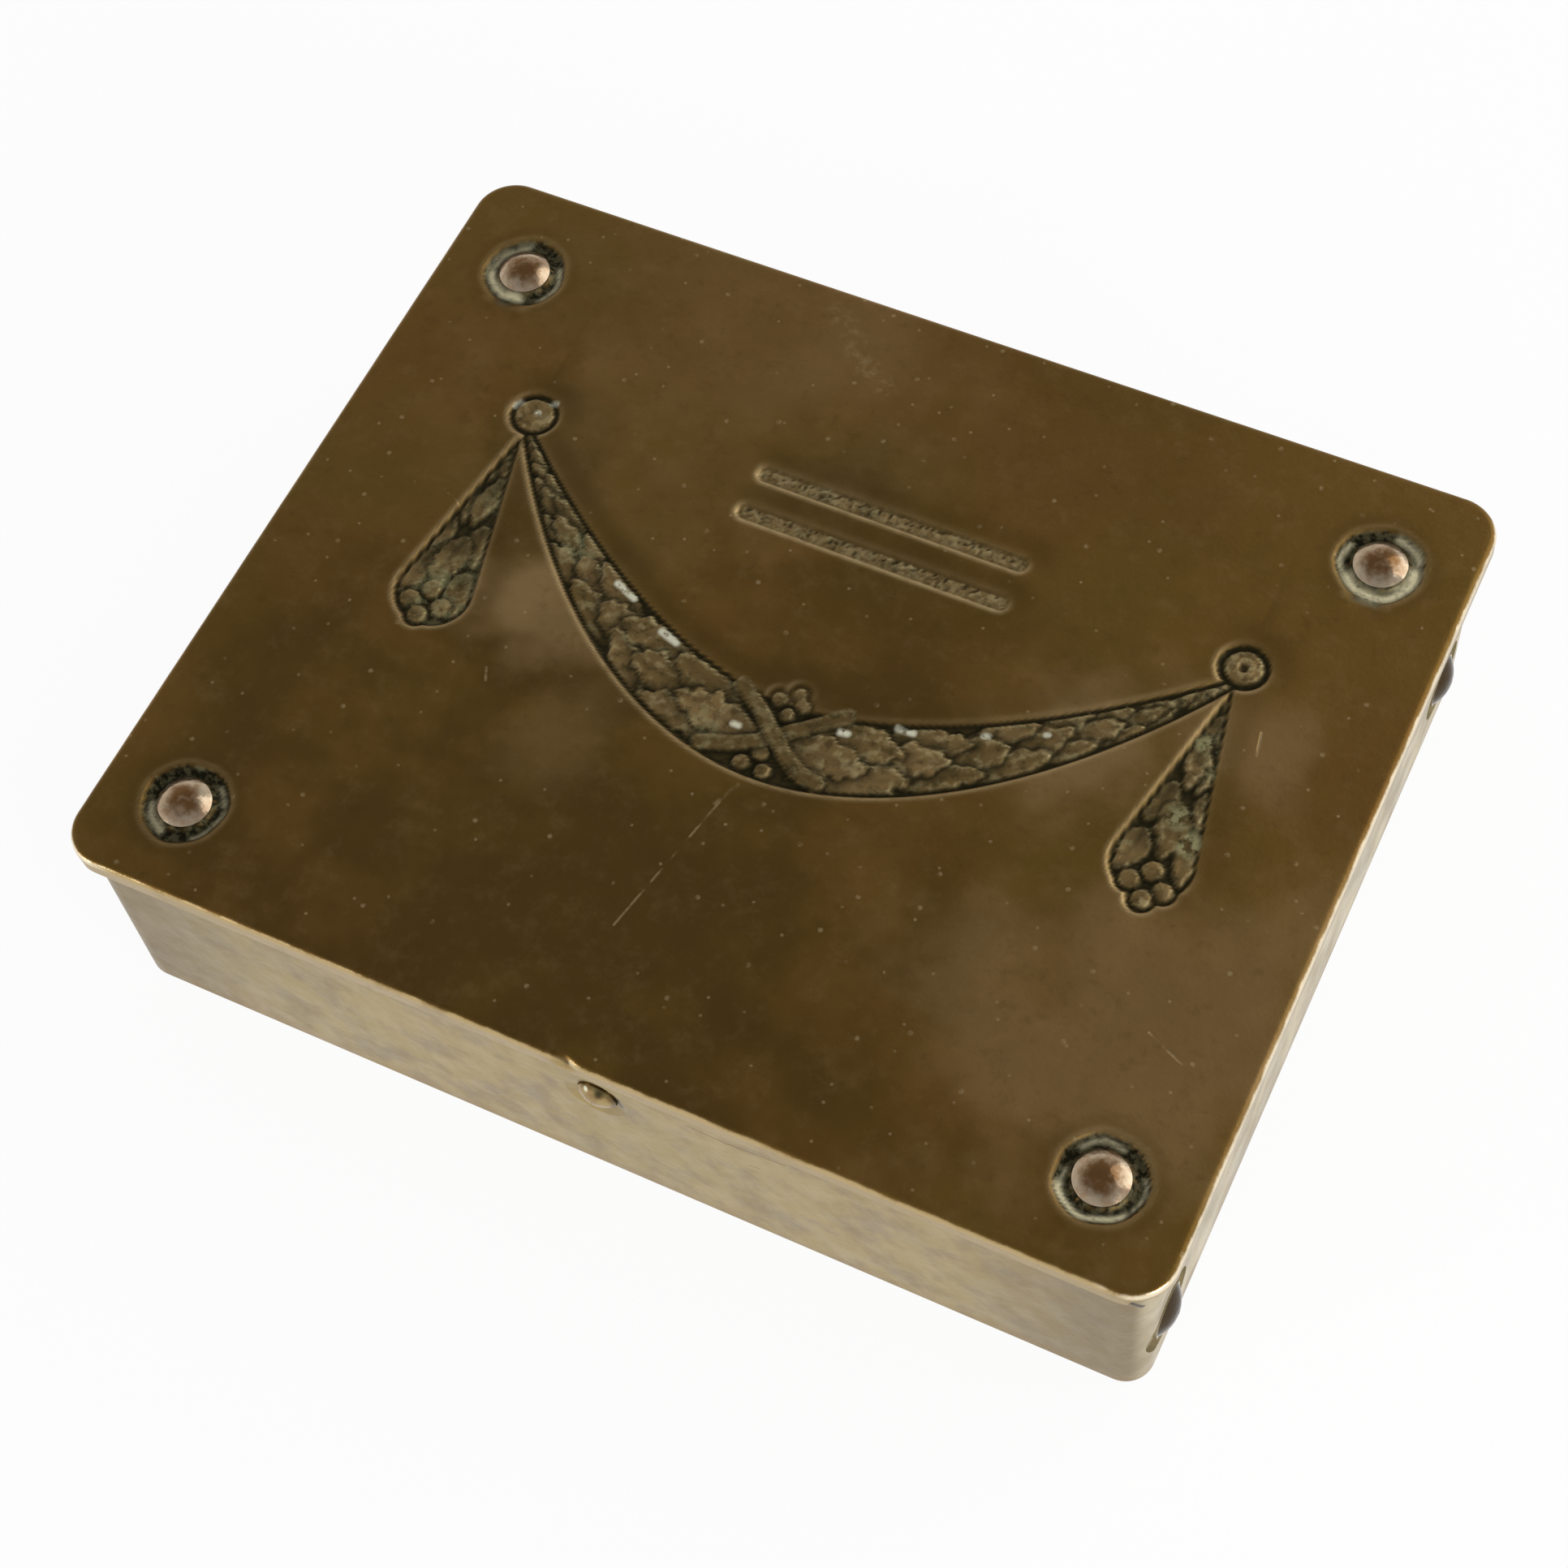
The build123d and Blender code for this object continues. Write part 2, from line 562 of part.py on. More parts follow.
def make_spring():
    """Open coil round the tail, one unbroken wire bent from quarter-turn arcs."""
    quarters = round(4 * SPRING_TURNS)
    wire_start = LATCH_BACK + SPRING_SEAT_GAP + SPRING_WIRE_RADIUS
    climb = (SPRING_LENGTH - 2 * SPRING_WIRE_RADIUS) / quarters

    def coil_point(quarter):
        angle = quarter * math.pi / 2
        x = SPRING_RADIUS * math.cos(angle)
        z = BUTTON_Z + SPRING_RADIUS * math.sin(angle)
        return Vector(x, wire_start + quarter * climb, z)

    slope = climb / (SPRING_RADIUS * math.pi / 2)
    direction = Vector(0, slope, 1).normalized()
    start_plane = Plane(origin=coil_point(0), z_dir=direction)
    arcs = []
    for quarter in range(quarters):
        arc = TangentArc(coil_point(quarter), coil_point(quarter + 1), tangent=direction)
        direction = arc % 1
        arcs.append(arc)
    return sweep(start_plane * Circle(SPRING_WIRE_RADIUS), path=Wire(arcs))


def make_keeper():
    """Tongue that hangs from the lid behind the front wall, with a hole for the nose."""
    half = KEEPER_WIDTH / 2
    foot_bottom = LID_UNDERSIDE - KEEPER_SHEET
    bottom = NOSE_Z - KEEPER_HOLE_MARGIN
    keeper = block(-half, half, KEEPER_FRONT, KEEPER_BACK, bottom, LID_UNDERSIDE)
    keeper = keeper + block(
        -half, half, KEEPER_BACK, KEEPER_FRONT + KEEPER_FOOT, foot_bottom, LID_UNDERSIDE
    )
    hole_radius = LATCH_NOSE_RADIUS + KEEPER_HOLE_CLEARANCE
    return keeper - rod(hole_radius, (0, KEEPER_FRONT, NOSE_Z), (0, 1, 0), KEEPER_SHEET)


def lap_slot(centre_x, centre_y, z_low, z_high):
    """The slot where one divider passes through another."""
    half = DIVIDER_SHEET / 2 + LAP_CLEARANCE
    return block(centre_x - half, centre_x + half, centre_y - half, centre_y + half, z_low, z_high)


def make_long_divider():
    reach = INNER_X - END_CLEARANCE
    half = DIVIDER_SHEET / 2
    middle = (BASE_SHEET + DIVIDER_TOP) / 2
    divider = block(-reach, reach, -half, half, BASE_SHEET, DIVIDER_TOP)
    for side in (-1, 1):
        divider = divider - lap_slot(side * DIVIDER_SPACING / 2, 0, middle, DIVIDER_TOP)
    return divider


def make_cross_divider(side):
    reach = INNER_Y - END_CLEARANCE
    centre = side * DIVIDER_SPACING / 2
    half = DIVIDER_SHEET / 2
    middle = (BASE_SHEET + DIVIDER_TOP) / 2
    divider = block(centre - half, centre + half, -reach, reach, BASE_SHEET, DIVIDER_TOP)
    return divider - lap_slot(centre, 0, BASE_SHEET, middle + LAP_CLEARANCE)


def ramp_section():
    """Side view of a sloping floor, hollow upwards: flat by the wall, high by the divider."""
    wall_end = Vector(INNER_Y - END_CLEARANCE, BASE_SHEET)
    high_end = Vector(DIVIDER_SHEET / 2 + END_CLEARANCE, BASE_SHEET + RAMP_RISE)
    upwards = (high_end - wall_end).normalized().rotate(Axis.Z, -90)
    sheet = upwards * RAMP_SHEET
    middle = (wall_end + high_end) / 2 - upwards * RAMP_HOLLOW
    edges = [
        ThreePointArc(wall_end, middle, high_end),
        Line(high_end, high_end + sheet),
        ThreePointArc(high_end + sheet, middle + sheet, wall_end + sheet),
        Line(wall_end + sheet, wall_end),
    ]
    return make_face(edges)


def make_ramp(x_low, x_high, end):
    """A sloping floor between two X limits, in the front (-1) or the rear (1) row."""
    section = Plane(origin=(x_low, 0, 0), x_dir=(0, 1, 0), z_dir=(1, 0, 0)) * ramp_section()
    ramp = extrude(section, x_high - x_low)
    ramp = ramp & rounded_frame(
        2 * (INNER_X - END_CLEARANCE),
        2 * (INNER_Y - END_CLEARANCE),
        INNER_CORNER_RADIUS - END_CLEARANCE,
        0,
        WALL_TOP,
    )
    return ramp if end > 0 else mirror(ramp, Plane.XZ)


def ramp_columns():
    wall = INNER_X - END_CLEARANCE
    divider_near = DIVIDER_SPACING / 2 - DIVIDER_SHEET / 2 - END_CLEARANCE
    divider_far = DIVIDER_SPACING / 2 + DIVIDER_SHEET / 2 + END_CLEARANCE
    return {
        "left": (-wall, -divider_far),
        "middle": (-divider_near, divider_near),
        "right": (divider_far, wall),
    }


def make_parts():
    parts = {
        "body_walls": make_walls(),
        "base_plate": make_base(),
        "long_divider": make_long_divider(),
        "cross_divider_left": make_cross_divider(-1),
        "cross_divider_right": make_cross_divider(1),
        "hinge_body_leaf": make_body_leaf(),
        "hinge_pin": make_hinge_pin(),
        "button_bush": make_bush(),
        "catch_bracket": make_bracket(),
        "button_spring": make_spring(),
        "push_button": make_button(),
        "latch_plate": make_latch(),
        "lid_plate": make_lid(),
        "hinge_lid_leaf": make_lid_leaf(),
        "keeper": make_keeper(),
    }
    for name, place in side_stud_places().items():
        parts[name] = stud(place, (math.copysign(1, place[0]), 0, 0), WALL_SHEET)
    for name, place in lid_stud_places().items():
        parts[name] = stud(place, (0, 0, 1), LID_SHEET)
    for column, (x_low, x_high) in ramp_columns().items():
        for row, end in (("front", -1), ("rear", 1)):
            parts[f"stamp_ramp_{row}_{column}"] = make_ramp(x_low, x_high, end)
    return parts


for node, solid in make_parts().items():
    export_step(solid, f"parts/{node}.step")
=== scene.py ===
import json
import math

import bpy
import numpy as np
from mathutils import Matrix, Vector


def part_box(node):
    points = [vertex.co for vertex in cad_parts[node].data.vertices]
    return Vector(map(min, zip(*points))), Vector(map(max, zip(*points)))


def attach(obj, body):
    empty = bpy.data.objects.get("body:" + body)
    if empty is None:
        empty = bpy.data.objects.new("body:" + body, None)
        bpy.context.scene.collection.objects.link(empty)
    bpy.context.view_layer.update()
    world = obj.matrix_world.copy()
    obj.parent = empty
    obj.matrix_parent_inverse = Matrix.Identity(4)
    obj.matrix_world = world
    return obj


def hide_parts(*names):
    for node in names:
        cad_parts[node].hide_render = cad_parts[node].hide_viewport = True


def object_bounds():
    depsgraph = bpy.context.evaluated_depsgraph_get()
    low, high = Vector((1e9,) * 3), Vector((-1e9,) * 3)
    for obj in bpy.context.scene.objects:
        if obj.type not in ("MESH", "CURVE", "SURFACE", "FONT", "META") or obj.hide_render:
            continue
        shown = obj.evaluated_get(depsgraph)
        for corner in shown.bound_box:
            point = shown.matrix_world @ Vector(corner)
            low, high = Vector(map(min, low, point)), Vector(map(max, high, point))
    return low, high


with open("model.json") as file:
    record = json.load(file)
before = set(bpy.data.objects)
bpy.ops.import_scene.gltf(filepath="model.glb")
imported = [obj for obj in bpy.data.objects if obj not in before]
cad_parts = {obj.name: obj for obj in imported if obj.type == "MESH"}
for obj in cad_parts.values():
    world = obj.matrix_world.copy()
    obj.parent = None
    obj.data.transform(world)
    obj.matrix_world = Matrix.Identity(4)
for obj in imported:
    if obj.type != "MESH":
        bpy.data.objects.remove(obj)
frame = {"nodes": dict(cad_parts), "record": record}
cad_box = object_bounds()

# A patinated brass stamp box. Shapes are worked out in millimetres in the frame's axes,
# with x to the right, y to the back and z up, and become metres when a mesh is made.
MM = 0.001


def node_box(node):
    """Lowest and highest corner of a frame node, in millimetres."""
    low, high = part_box(node)
    return np.array(low) / MM, np.array(high) / MM


def node_middle(node):
    low, high = node_box(node)
    return (low + high) / 2


LID_LOW, LID_HIGH = node_box("lid_plate")
WALL_LOW, WALL_HIGH = node_box("body_walls")
BUTTON = node_middle("push_button")
CORNERS = [(end, side) for end in ("front", "rear") for side in ("left", "right")]
LID_STUD_NAMES = [f"lid_stud_{end}_{side}" for end, side in CORNERS]
LID_STUDS = {name: node_middle(name) for name in LID_STUD_NAMES}
SIDE_STUDS = [node_middle(f"side_stud_{side}_{end}") for end, side in CORNERS]

# Lid: the same sheet, rim and relief as the node that it replaces
LID_HALF_X, LID_HALF_Y, LID_TOP = LID_HIGH
RIM_BOTTOM = LID_LOW[2]
LID_SHEET = 1.0
LID_UNDERSIDE = LID_TOP - LID_SHEET
RIM_SHEET = 0.8
RIM_FOOT = 0.15
EDGE_ROUND = 0.6
EDGE_TURNS = (18, 36, 54, 72, 90)
CORNER_RADIUS = 3.8
HINGE_NOTCH_HALF = 15.4
NOTCH_STEP = 0.02

# The rim is cut open at the lid's front corners, between these degrees round each corner
CORNER_CUT_START = 18
CORNER_CUT_END = 72

# A knock in the lid's front edge: its place, half width, reach inwards and depth
DENT_X = -1.3
DENT_HALF_WIDTH = 0.9
DENT_REACH = 0.7
DENT_DEPTH = 0.28

# Relief of the lid
FLOOR_DEPTH = 0.45
SHOULDER = 0.3
WALL_REACH = 0.2
BORDER = 0.2
ORNAMENT_X = 0.8
ROSETTE_HALF_SPACING = 34.1
ROSETTE_Y = 16.0
ROSETTE_RADIUS = 2.2
ROSETTE_DEPTH = 0.42
ROSETTE_BOSS = {-1: 1.9, 1: 1.75}
SWAG_HALF_SPAN = 33.4
SWAG_END_Y = 13.7
SWAG_LOW_Y = -6.3
SWAG_CURVE_POWER = 1.85
SWAG_TIP_HALF_WIDTH = 0.55
SWAG_MIDDLE_HALF_WIDTH = 3.8
SWAG_LEAF_START = 0.12
SWAG_LEAF_END = 0.99
SWAG_NARROW = 1.15
SWAG_LEAF_OFFSET = 0.56
SWAG_LEAF_OVERLAP = 0.36
SWAG_LEAF_SWAY = 10
DROP_CENTRE_Y = -4.2
DROP_RADIUS = 3.5
DROP_APEX_Y = 13.4
DROP_SWING = {-1: 0.7, 1: 0.0}
DROP_FAINT_EDGE = {-1: 0.35, 1: 0.8}
BAR_LENGTH = 25.8
BAR_WIDTH = 1.5
BAR_X = ORNAMENT_X + 0.4
BAR_Y = 16.1
BAR_SPACING = 4.3
BAR_DEPTH = 0.4
BERRY_RADIUS = 0.85
BERRY_GAP = 0.12
LOBE_RADIUS = 0.75
RIBBON_WIDTH = 1.6

# Ring wells round the studs
WELL_INNER = 2.5
WELL_OUTER = 3.8
WELL_DEPTH = 0.55
RESIDUE_HEIGHT = 0.16

# Leaves: heights from the lid's top, and the width from which a leaf has a vein
LEAF_FOOT_HEIGHT = -0.34
LEAF_RISE = 0.27
LEAF_HOLLOW = 0.08
LEAF_VEIN = 0.05
VEINED_WIDTH = 1.5

# Lines along the edges of regions, of painted shade and of wear with painted highlights: how far
# inside the edge they run, and their width
GROOVE_LINE = (0.12, 0.17)
LIP_LINE = (-0.32, 0.22)
DUSK_LINE = (-1.3, 1.2)
BAR_LIP_LINE = (-0.12, 0.28)
WELL_LIP_LINE = (-0.3, 0.2)
WELL_DUSK_LINE = (-0.9, 0.6)
PAD_GROOVE_LINE = (-0.1, 0.16)
PAD_SHADE_LINE = (-0.35, 0.45)
PAD_RIDGE_LINE = (0.26, 0.16)
PAD_RIDGE_HEIGHT = 0.06
PAD_SHOULDER = 0.22

# Painted light: the lines of wear along edges are painted brightest where they face the rear right,
# and painted shade falls where they face the front left
LIT_SIDE = (0.5, 0.866)

# Grid steps of the lid's mesh, and how far past a well they stay fine
FINE_STEP = 0.265
CORNER_STEP = 0.4
COARSE_STEP = 1.0
WELL_MARGIN = 0.6

# Places of the knot's parts, in millimetres from the middle of the lid
RIBBON_OVER = [
    (-3.44, -2.17), (-1.02, -3.71), (1.01, -5.49), (2.7, -6.97), (4.6, -8.12), (6.43, -8.53),
]
RIBBON_UNDER = [
    (-4.48, -8.63), (-1.96, -7.77), (0.04, -6.69), (2.01, -4.95), (3.77, -3.54), (6.19, -1.51),
]
KNOT_LOW_BERRIES = [(-0.29, -9.02), (1.79, -9.11), (0.85, -7.55)]
KNOT_HIGH_LOBES = [(0.12, -2.22), (1.6, -1.25), (2.25, -2.2), (1.35, -3.37)]

# Leaves of the right drop: across from its axis, y, turn from straight down in degrees,
# length and width. The left drop is its mirror image.
DROP_LEAVES = [
    (0.0, 11.4, 0, 4.6, 1.0), (0.5, 9.4, 6, 4.4, 1.0), (-0.4, 8.6, -6, 4.6, 1.2),
    (1.15, 4.9, -10, 4.2, 1.7), (-0.2, 5.8, 2, 5.8, 2.3), (2.0, 1.5, 3, 4.8, 2.0),
    (-1.6, 1.4, -16, 5.0, 2.5), (2.4, -3.0, 6, 5.6, 2.6), (0.2, -0.9, 5, 6.2, 3.1),
    (-2.1, -3.7, -10, 5.0, 2.9),
]
DROP_BERRIES = [(-1.22, -6.34), (0.31, -4.93), (1.74, -6.45), (0.39, -7.69)]
DROP_BERRY_RADIUS = 1.02
DROP_BERRY_GAP = 0.2
DROP_BERRY_LIFT = {-1: 0.8, 1: 0.0}

# Pale residue in each well: start and end in degrees from +x, radius, width, strength
WELL_RESIDUE = {
    "lid_stud_front_right": [
        (-165, -25, 3.35, 0.24, 0.95), (-30, 30, 3.4, 0.17, 0.5), (70, 150, 3.2, 0.22, 0.5),
        (180, 215, 3.1, 0.18, 0.5),
    ],
    "lid_stud_front_left": [
        (-170, -95, 3.0, 0.3, 0.6), (-60, 20, 3.4, 0.2, 0.4), (15, 60, 3.2, 0.2, 0.4),
    ],
    "lid_stud_rear_right": [
        (-160, 30, 3.15, 0.42, 1.0), (20, 90, 3.3, 0.3, 0.7), (150, 230, 3.3, 0.2, 0.6),
    ],
    "lid_stud_rear_left": [
        (-175, -60, 3.0, 0.35, 0.9), (100, 200, 3.15, 0.4, 0.45), (-50, 40, 3.4, 0.25, 0.6),
    ],
}

# Scratches on the lid's top and on the front wall: start, end and width in millimetres
LID_SCRATCHES = [
    ((-0.1, -13.3), (-3.0, -27.1), 0.14), ((0.6, -11.2), (-0.4, -13.6), 0.26),
    ((40.5, -18.5), (43.8, -20.0), 0.16), ((-36.9, 5.6), (-34.6, 4.6), 0.2),
    ((38.6, 10.6), (39.0, 8.4), 0.2), ((-24.5, -9.4), (-23.9, -10.6), 0.16),
]
LID_ABRASION = [((-12.5, 37.0), (-9.0, 33.4), 1.7), ((-9.0, 33.4), (-5.6, 30.9), 1.7)]
FRONT = WALL_LOW[1]
FRONT_EDGE = LID_LOW[1] + 0.3
# Painted shade in the knock in the lid's front edge, and a painted highlight on its lip: start, end
# and width
EDGE_KNOCK_SHADE = ((-2.2, FRONT_EDGE, LID_TOP - 0.1), (-1.1, FRONT_EDGE, LID_TOP - 0.6), 0.5)
EDGE_LIP_HIGHLIGHT = ((-0.6, FRONT_EDGE, LID_TOP - 0.5), (0.1, FRONT_EDGE, LID_TOP - 0.6), 0.4)
WALL_SCRATCHES = [
    ((8.6, FRONT, LID_TOP - 6.2), (12.4, FRONT, LID_TOP - 6.6), 0.14),
    ((12.0, FRONT, LID_TOP - 6.5), (17.5, FRONT, LID_TOP - 5.9), 0.14),
    ((14.0, FRONT, LID_TOP - 9.4), (15.2, FRONT, LID_TOP - 9.0), 0.1),
]

# Zones of the lid: x, y, radius and strength. The patina is darker in the first ones and
# lighter in the next, and pale green crust sits in the ornament in the last.
DARK_ZONES = [
    (-10, -29, 46, 0.75), (4, 9, 20, 0.4), (-31, 12, 10, 0.6), (-44, -17, 9, 0.5), (-5, 21, 8, 0.4),
]
LIGHT_ZONES = [
    (39, -19, 24, 0.5), (-25, -1, 7, 1.0), (-20, -4, 6, 0.7), (-16, -12, 7, 0.25), (24, 3, 9, 0.7),
    (-20, 30, 30, 0.22), (37, 10, 9, 0.5), (-9, 32, 10, 0.2),
]
VERDIGRIS_ZONES = [
    (34.6, 7.8, 1.5, 0.75), (36.5, 5.6, 1.4, 0.85), (37.1, -1.4, 1.7, 0.9), (35.4, 0.5, 1.4, 0.7),
    (-32.8, -4.0, 5.5, 0.42), (-32.4, 6.0, 3.0, 0.35), (-23.4, 5.0, 2.2, 0.45),
    (-4.8, -6.2, 2.4, 0.35),
]

# Painted highlights, glints on the ornament: start, end, width and strength
GLINT_DEPTH = 0.2
GLINTS = [
    ((-18.0, 2.8), (-16.0, 2.0), 0.5, 1.0), ((-12.2, -0.1), (-10.6, -0.6), 0.55, 1.0),
    ((-2.5, -5.9), (-2.0, -5.9), 0.5, 0.9), ((6.2, -3.1), (6.8, -3.0), 0.55, 1.0),
    ((10.5, -0.9), (11.9, -0.8), 0.5, 1.0), ((17.5, 1.3), (17.8, 1.4), 0.5, 0.9),
    ((22.2, 3.4), (22.4, 3.5), 0.4, 0.7), ((-35.4, 16.3), (-35.0, 16.9), 0.5, 0.4),
    ((-32.4, 17.7), (-31.9, 17.9), 0.45, 0.4), ((-33.15, 16.3), (-33.05, 16.3), 0.45, 0.9),
]

# Shadows in the button's dish: place from its middle, radius and strength
DISH_SHADOWS = [
    (1.9, 0.35, 0.6, 0.9), (2.2, -0.1, 0.5, 0.9), (1.3, 0.9, 0.6, 0.5), (-0.9, 1.3, 1.0, 0.25),
]

# Painted shadow under the lid's open front corners: start, end and width
CORNER_SHADOWS = [((s * 47.2, -38.2, 19.3), (s * 48, -37.7, 18.2), 0.3) for s in (1, -1)]

# Camera, as found from the photograph: its place, its line of sight and its right hand side
CAMERA_PLACE = (72.12, -115.31, 243.89)
CAMERA_FORWARD = (-0.2686, 0.4172, -0.86821)
CAMERA_RIGHT = (0.89928, 0.43159, -0.07082)
CAMERA_LENS = 69.67
CAMERA_SENSOR = 36.0
CAMERA_CLIP = (0.01, 20.0)

# Lamps: place, width and power in watts
LAMPS = {
    "lamp_front_left": ((-560, -640, 160), 160, 1.7),
    "lamp_right": ((740, -300, 220), 240, 3.0),
    "lamp_rear_right": ((520, 560, 430), 800, 3.0),
}

# The floor: half its side, its drop below the box, its colour, and the share of plain white
# in what the camera and reflections see of it
FLOOR_HALF = 4000.0
FLOOR_DROP = 0.2
FLOOR_COLOUR = (0.96, 0.96, 0.96, 1)
FLOOR_GLOW = 0.93

# The studio round the box: its colour at the horizon and overhead, each with its height
WORLD_STOPS = [(0.0, (1.0, 1.0, 1.0, 1)), (0.8, (0.4, 0.4, 0.41, 1))]


def light(colour):
    """Linear light of a screen colour, 0 to 255. Anything but a tuple stays as it is."""
    if not isinstance(colour, tuple):
        return colour
    shares = (value / 255 for value in colour)
    return (*[s / 12.92 if s <= 0.04045 else ((s + 0.055) / 1.055) ** 2.4 for s in shares], 1.0)


def smooth_step(low, high, value):
    """0 at low, 1 at high, and smooth between them. low may be the larger one."""
    share = np.clip((value - low) / (high - low), 0, 1)
    return share * share * (3 - 2 * share)


def bump(distance, width):
    """1 on a line and 0 away from it."""
    return np.exp(-((distance / width) ** 2))


def edge_line(inside, line):
    """1 on a line along a region's edge. inside is the distance into the region."""
    place, width = line
    return bump(inside - place, width)


class Waves:
    """Smooth wandering noise, about -1 to 1, made from a few seeded plane waves."""

    def __init__(self, seed, wavelength, count=14):
        source = np.random.default_rng(seed)
        turns = source.uniform(0, 2 * math.pi, count)
        lengths = wavelength * source.uniform(0.6, 1.7, count)
        self.kx = 2 * math.pi * np.cos(turns) / lengths
        self.ky = 2 * math.pi * np.sin(turns) / lengths
        self.phase = source.uniform(0, 2 * math.pi, count)

    def at(self, x, y):
        total = np.zeros_like(x)
        for kx, ky, phase in zip(self.kx, self.ky, self.phase):
            total += np.sin(kx * x + ky * y + phase)
        return total / math.sqrt(len(self.kx))


class Relief:
    """Height below the lid's top face, and colour masks, at the points of a grid."""

    # Colour masks: shade, dusk and the groove line paint shade, and the lip and ridge lines are
    # wear with painted highlights
    MASKS = "recess leaf tone shade ridge groove lip dusk well residue".split()

    def __init__(self, x, y, x_lines, y_lines):
        self.x = x
        self.y = y
        self.lines = (x_lines, y_lines)
        self.height = np.zeros_like(x)
        for name in self.MASKS:
            setattr(self, name, np.zeros_like(x))

    def away(self, place):
        """Distance from a place."""
        return np.hypot(self.x - place[0], self.y - place[1])

    def strengthen(self, name, values):
        """Raises a mask to the values where they are stronger."""
        setattr(self, name, np.maximum(getattr(self, name), values))

    def lit(self, inside):
        """1 where a region lies to the rear right of its edge, -1 where to the front left."""
        rise_x, rise_y = np.gradient(inside, *self.lines)
        length = np.maximum(np.hypot(rise_x, rise_y), 1e-6)
        return (rise_x * LIT_SIDE[0] + rise_y * LIT_SIDE[1]) / length

    def sink(self, inside, depth, shoulder=SHOULDER, dirt=1.0, faint_edge=0.0):
        """Sinks a region. inside is the distance into it, negative outside.

        dirt is the strength of its dark ground and of the painted shade line just inside its edge,
        and faint_edge fades its edge lines of painted shade and painted highlight where
        they face the rear right.
        """
        share = smooth_step(-shoulder, WALL_REACH, inside)
        self.height = np.minimum(self.height, -depth * share)
        self.strengthen("recess", dirt * smooth_step(-0.1, 0.12, inside))
        lit = self.lit(inside)
        clear = 1 - faint_edge * np.clip(-lit, 0, 1)
        # Painted shade: a dark line just inside the edge
        self.strengthen("groove", dirt * clear * edge_line(inside, GROOVE_LINE))
        # A pale line just outside the edge, wear with a painted highlight, brighter where the edge
        # faces the rear right
        self.strengthen("lip", clear * edge_line(inside, LIP_LINE) * (0.5 + 0.4 * lit))
        # Painted shade: the sheet darker outside edges that face the front left
        self.strengthen("dusk", edge_line(inside, DUSK_LINE) * np.clip(-lit, 0, 1))

    def raise_pad(self, inside, top, rim=1.0, tone=0.5, shade=0.0):
        """Lays a pad over what is there. top is its height, inside the distance into it, and shade
        the painted shade on the pad.
        """
        share = smooth_step(0, PAD_SHOULDER, inside)
        # Painted shade: a dark line round the pad and a soft shadow beside it on the recess it lies
        # in
        around = edge_line(inside, PAD_GROOVE_LINE) * self.recess
        under = 0.75 * edge_line(inside, PAD_SHADE_LINE) * self.recess
        self.groove = np.maximum(self.groove * (1 - share), around * (1 - share))
        self.shade = np.maximum(self.shade, under) * (1 - share) + shade * share
        edge = edge_line(inside, PAD_RIDGE_LINE)
        # A pale ridge inside the pad's edge, wear with a painted highlight, brightest where the
        # edge faces the rear right
        ridge = rim * edge * (0.45 - 0.45 * self.lit(inside))
        self.height += (top + PAD_RIDGE_HEIGHT * edge - self.height) * share
        self.leaf += (1 - self.leaf) * share
        self.tone += (tone - self.tone) * share
        self.ridge += (ridge - self.ridge) * share


def swag_point(along):
    """A point of the swag's middle line, for -1 at its left end to 1 at its right end."""
    x = ORNAMENT_X + along * SWAG_HALF_SPAN
    y = SWAG_LOW_Y + (SWAG_END_Y - SWAG_LOW_Y) * np.abs(along) ** SWAG_CURVE_POWER
    return x, y


def swag_direction(along):
    step = 0.001
    run = np.subtract(swag_point(along + step), swag_point(along - step))
    return run / np.hypot(*run)


def swag_half_width(along):
    swell = SWAG_MIDDLE_HALF_WIDTH - SWAG_TIP_HALF_WIDTH
    return SWAG_TIP_HALF_WIDTH + swell * np.clip(1 - along**2, 0, 1)


def swag_inside(x, y):
    """Distance into the swag's outline."""
    inside = np.full_like(x, -9.0)
    for along in np.linspace(-1, 1, 241):
        centre_x, centre_y = swag_point(along)
        reach = swag_half_width(along) - np.hypot(x - centre_x, y - centre_y)
        inside = np.maximum(inside, reach)
    return inside


def drop_axis(side, y):
    """x of a drop's middle line, which swings slightly from its rosette."""
    fall = (DROP_APEX_Y - y) / (DROP_APEX_Y - DROP_CENTRE_Y)
    return ORNAMENT_X + side * ROSETTE_HALF_SPACING + DROP_SWING[side] * fall


def drop_berries(side):
    """Places of the berries at a drop's foot."""
    lift = DROP_BERRY_LIFT[side]
    return [(drop_axis(side, y) + side * across, y + lift) for across, y in DROP_BERRIES]


def drop_inside(x, y, side):
    """Distance into a hanging drop: a circle, its tangents from the apex, and the berries."""
    reach = DROP_APEX_Y - DROP_CENTRE_Y
    half_angle = math.asin(DROP_RADIUS / reach)
    across = x - drop_axis(side, y)
    below = DROP_RADIUS - np.hypot(across, y - DROP_CENTRE_Y)
    above = (DROP_APEX_Y - y) * math.sin(half_angle) - np.abs(across) * math.cos(half_angle)
    touch_y = DROP_CENTRE_Y + DROP_RADIUS * math.sin(half_angle)
    inside = np.where(y > touch_y, above, below)
    for berry_x, berry_y in drop_berries(side):
        around = DROP_BERRY_RADIUS + DROP_BERRY_GAP - np.hypot(x - berry_x, y - berry_y)
        inside = np.maximum(inside, around)
    return inside


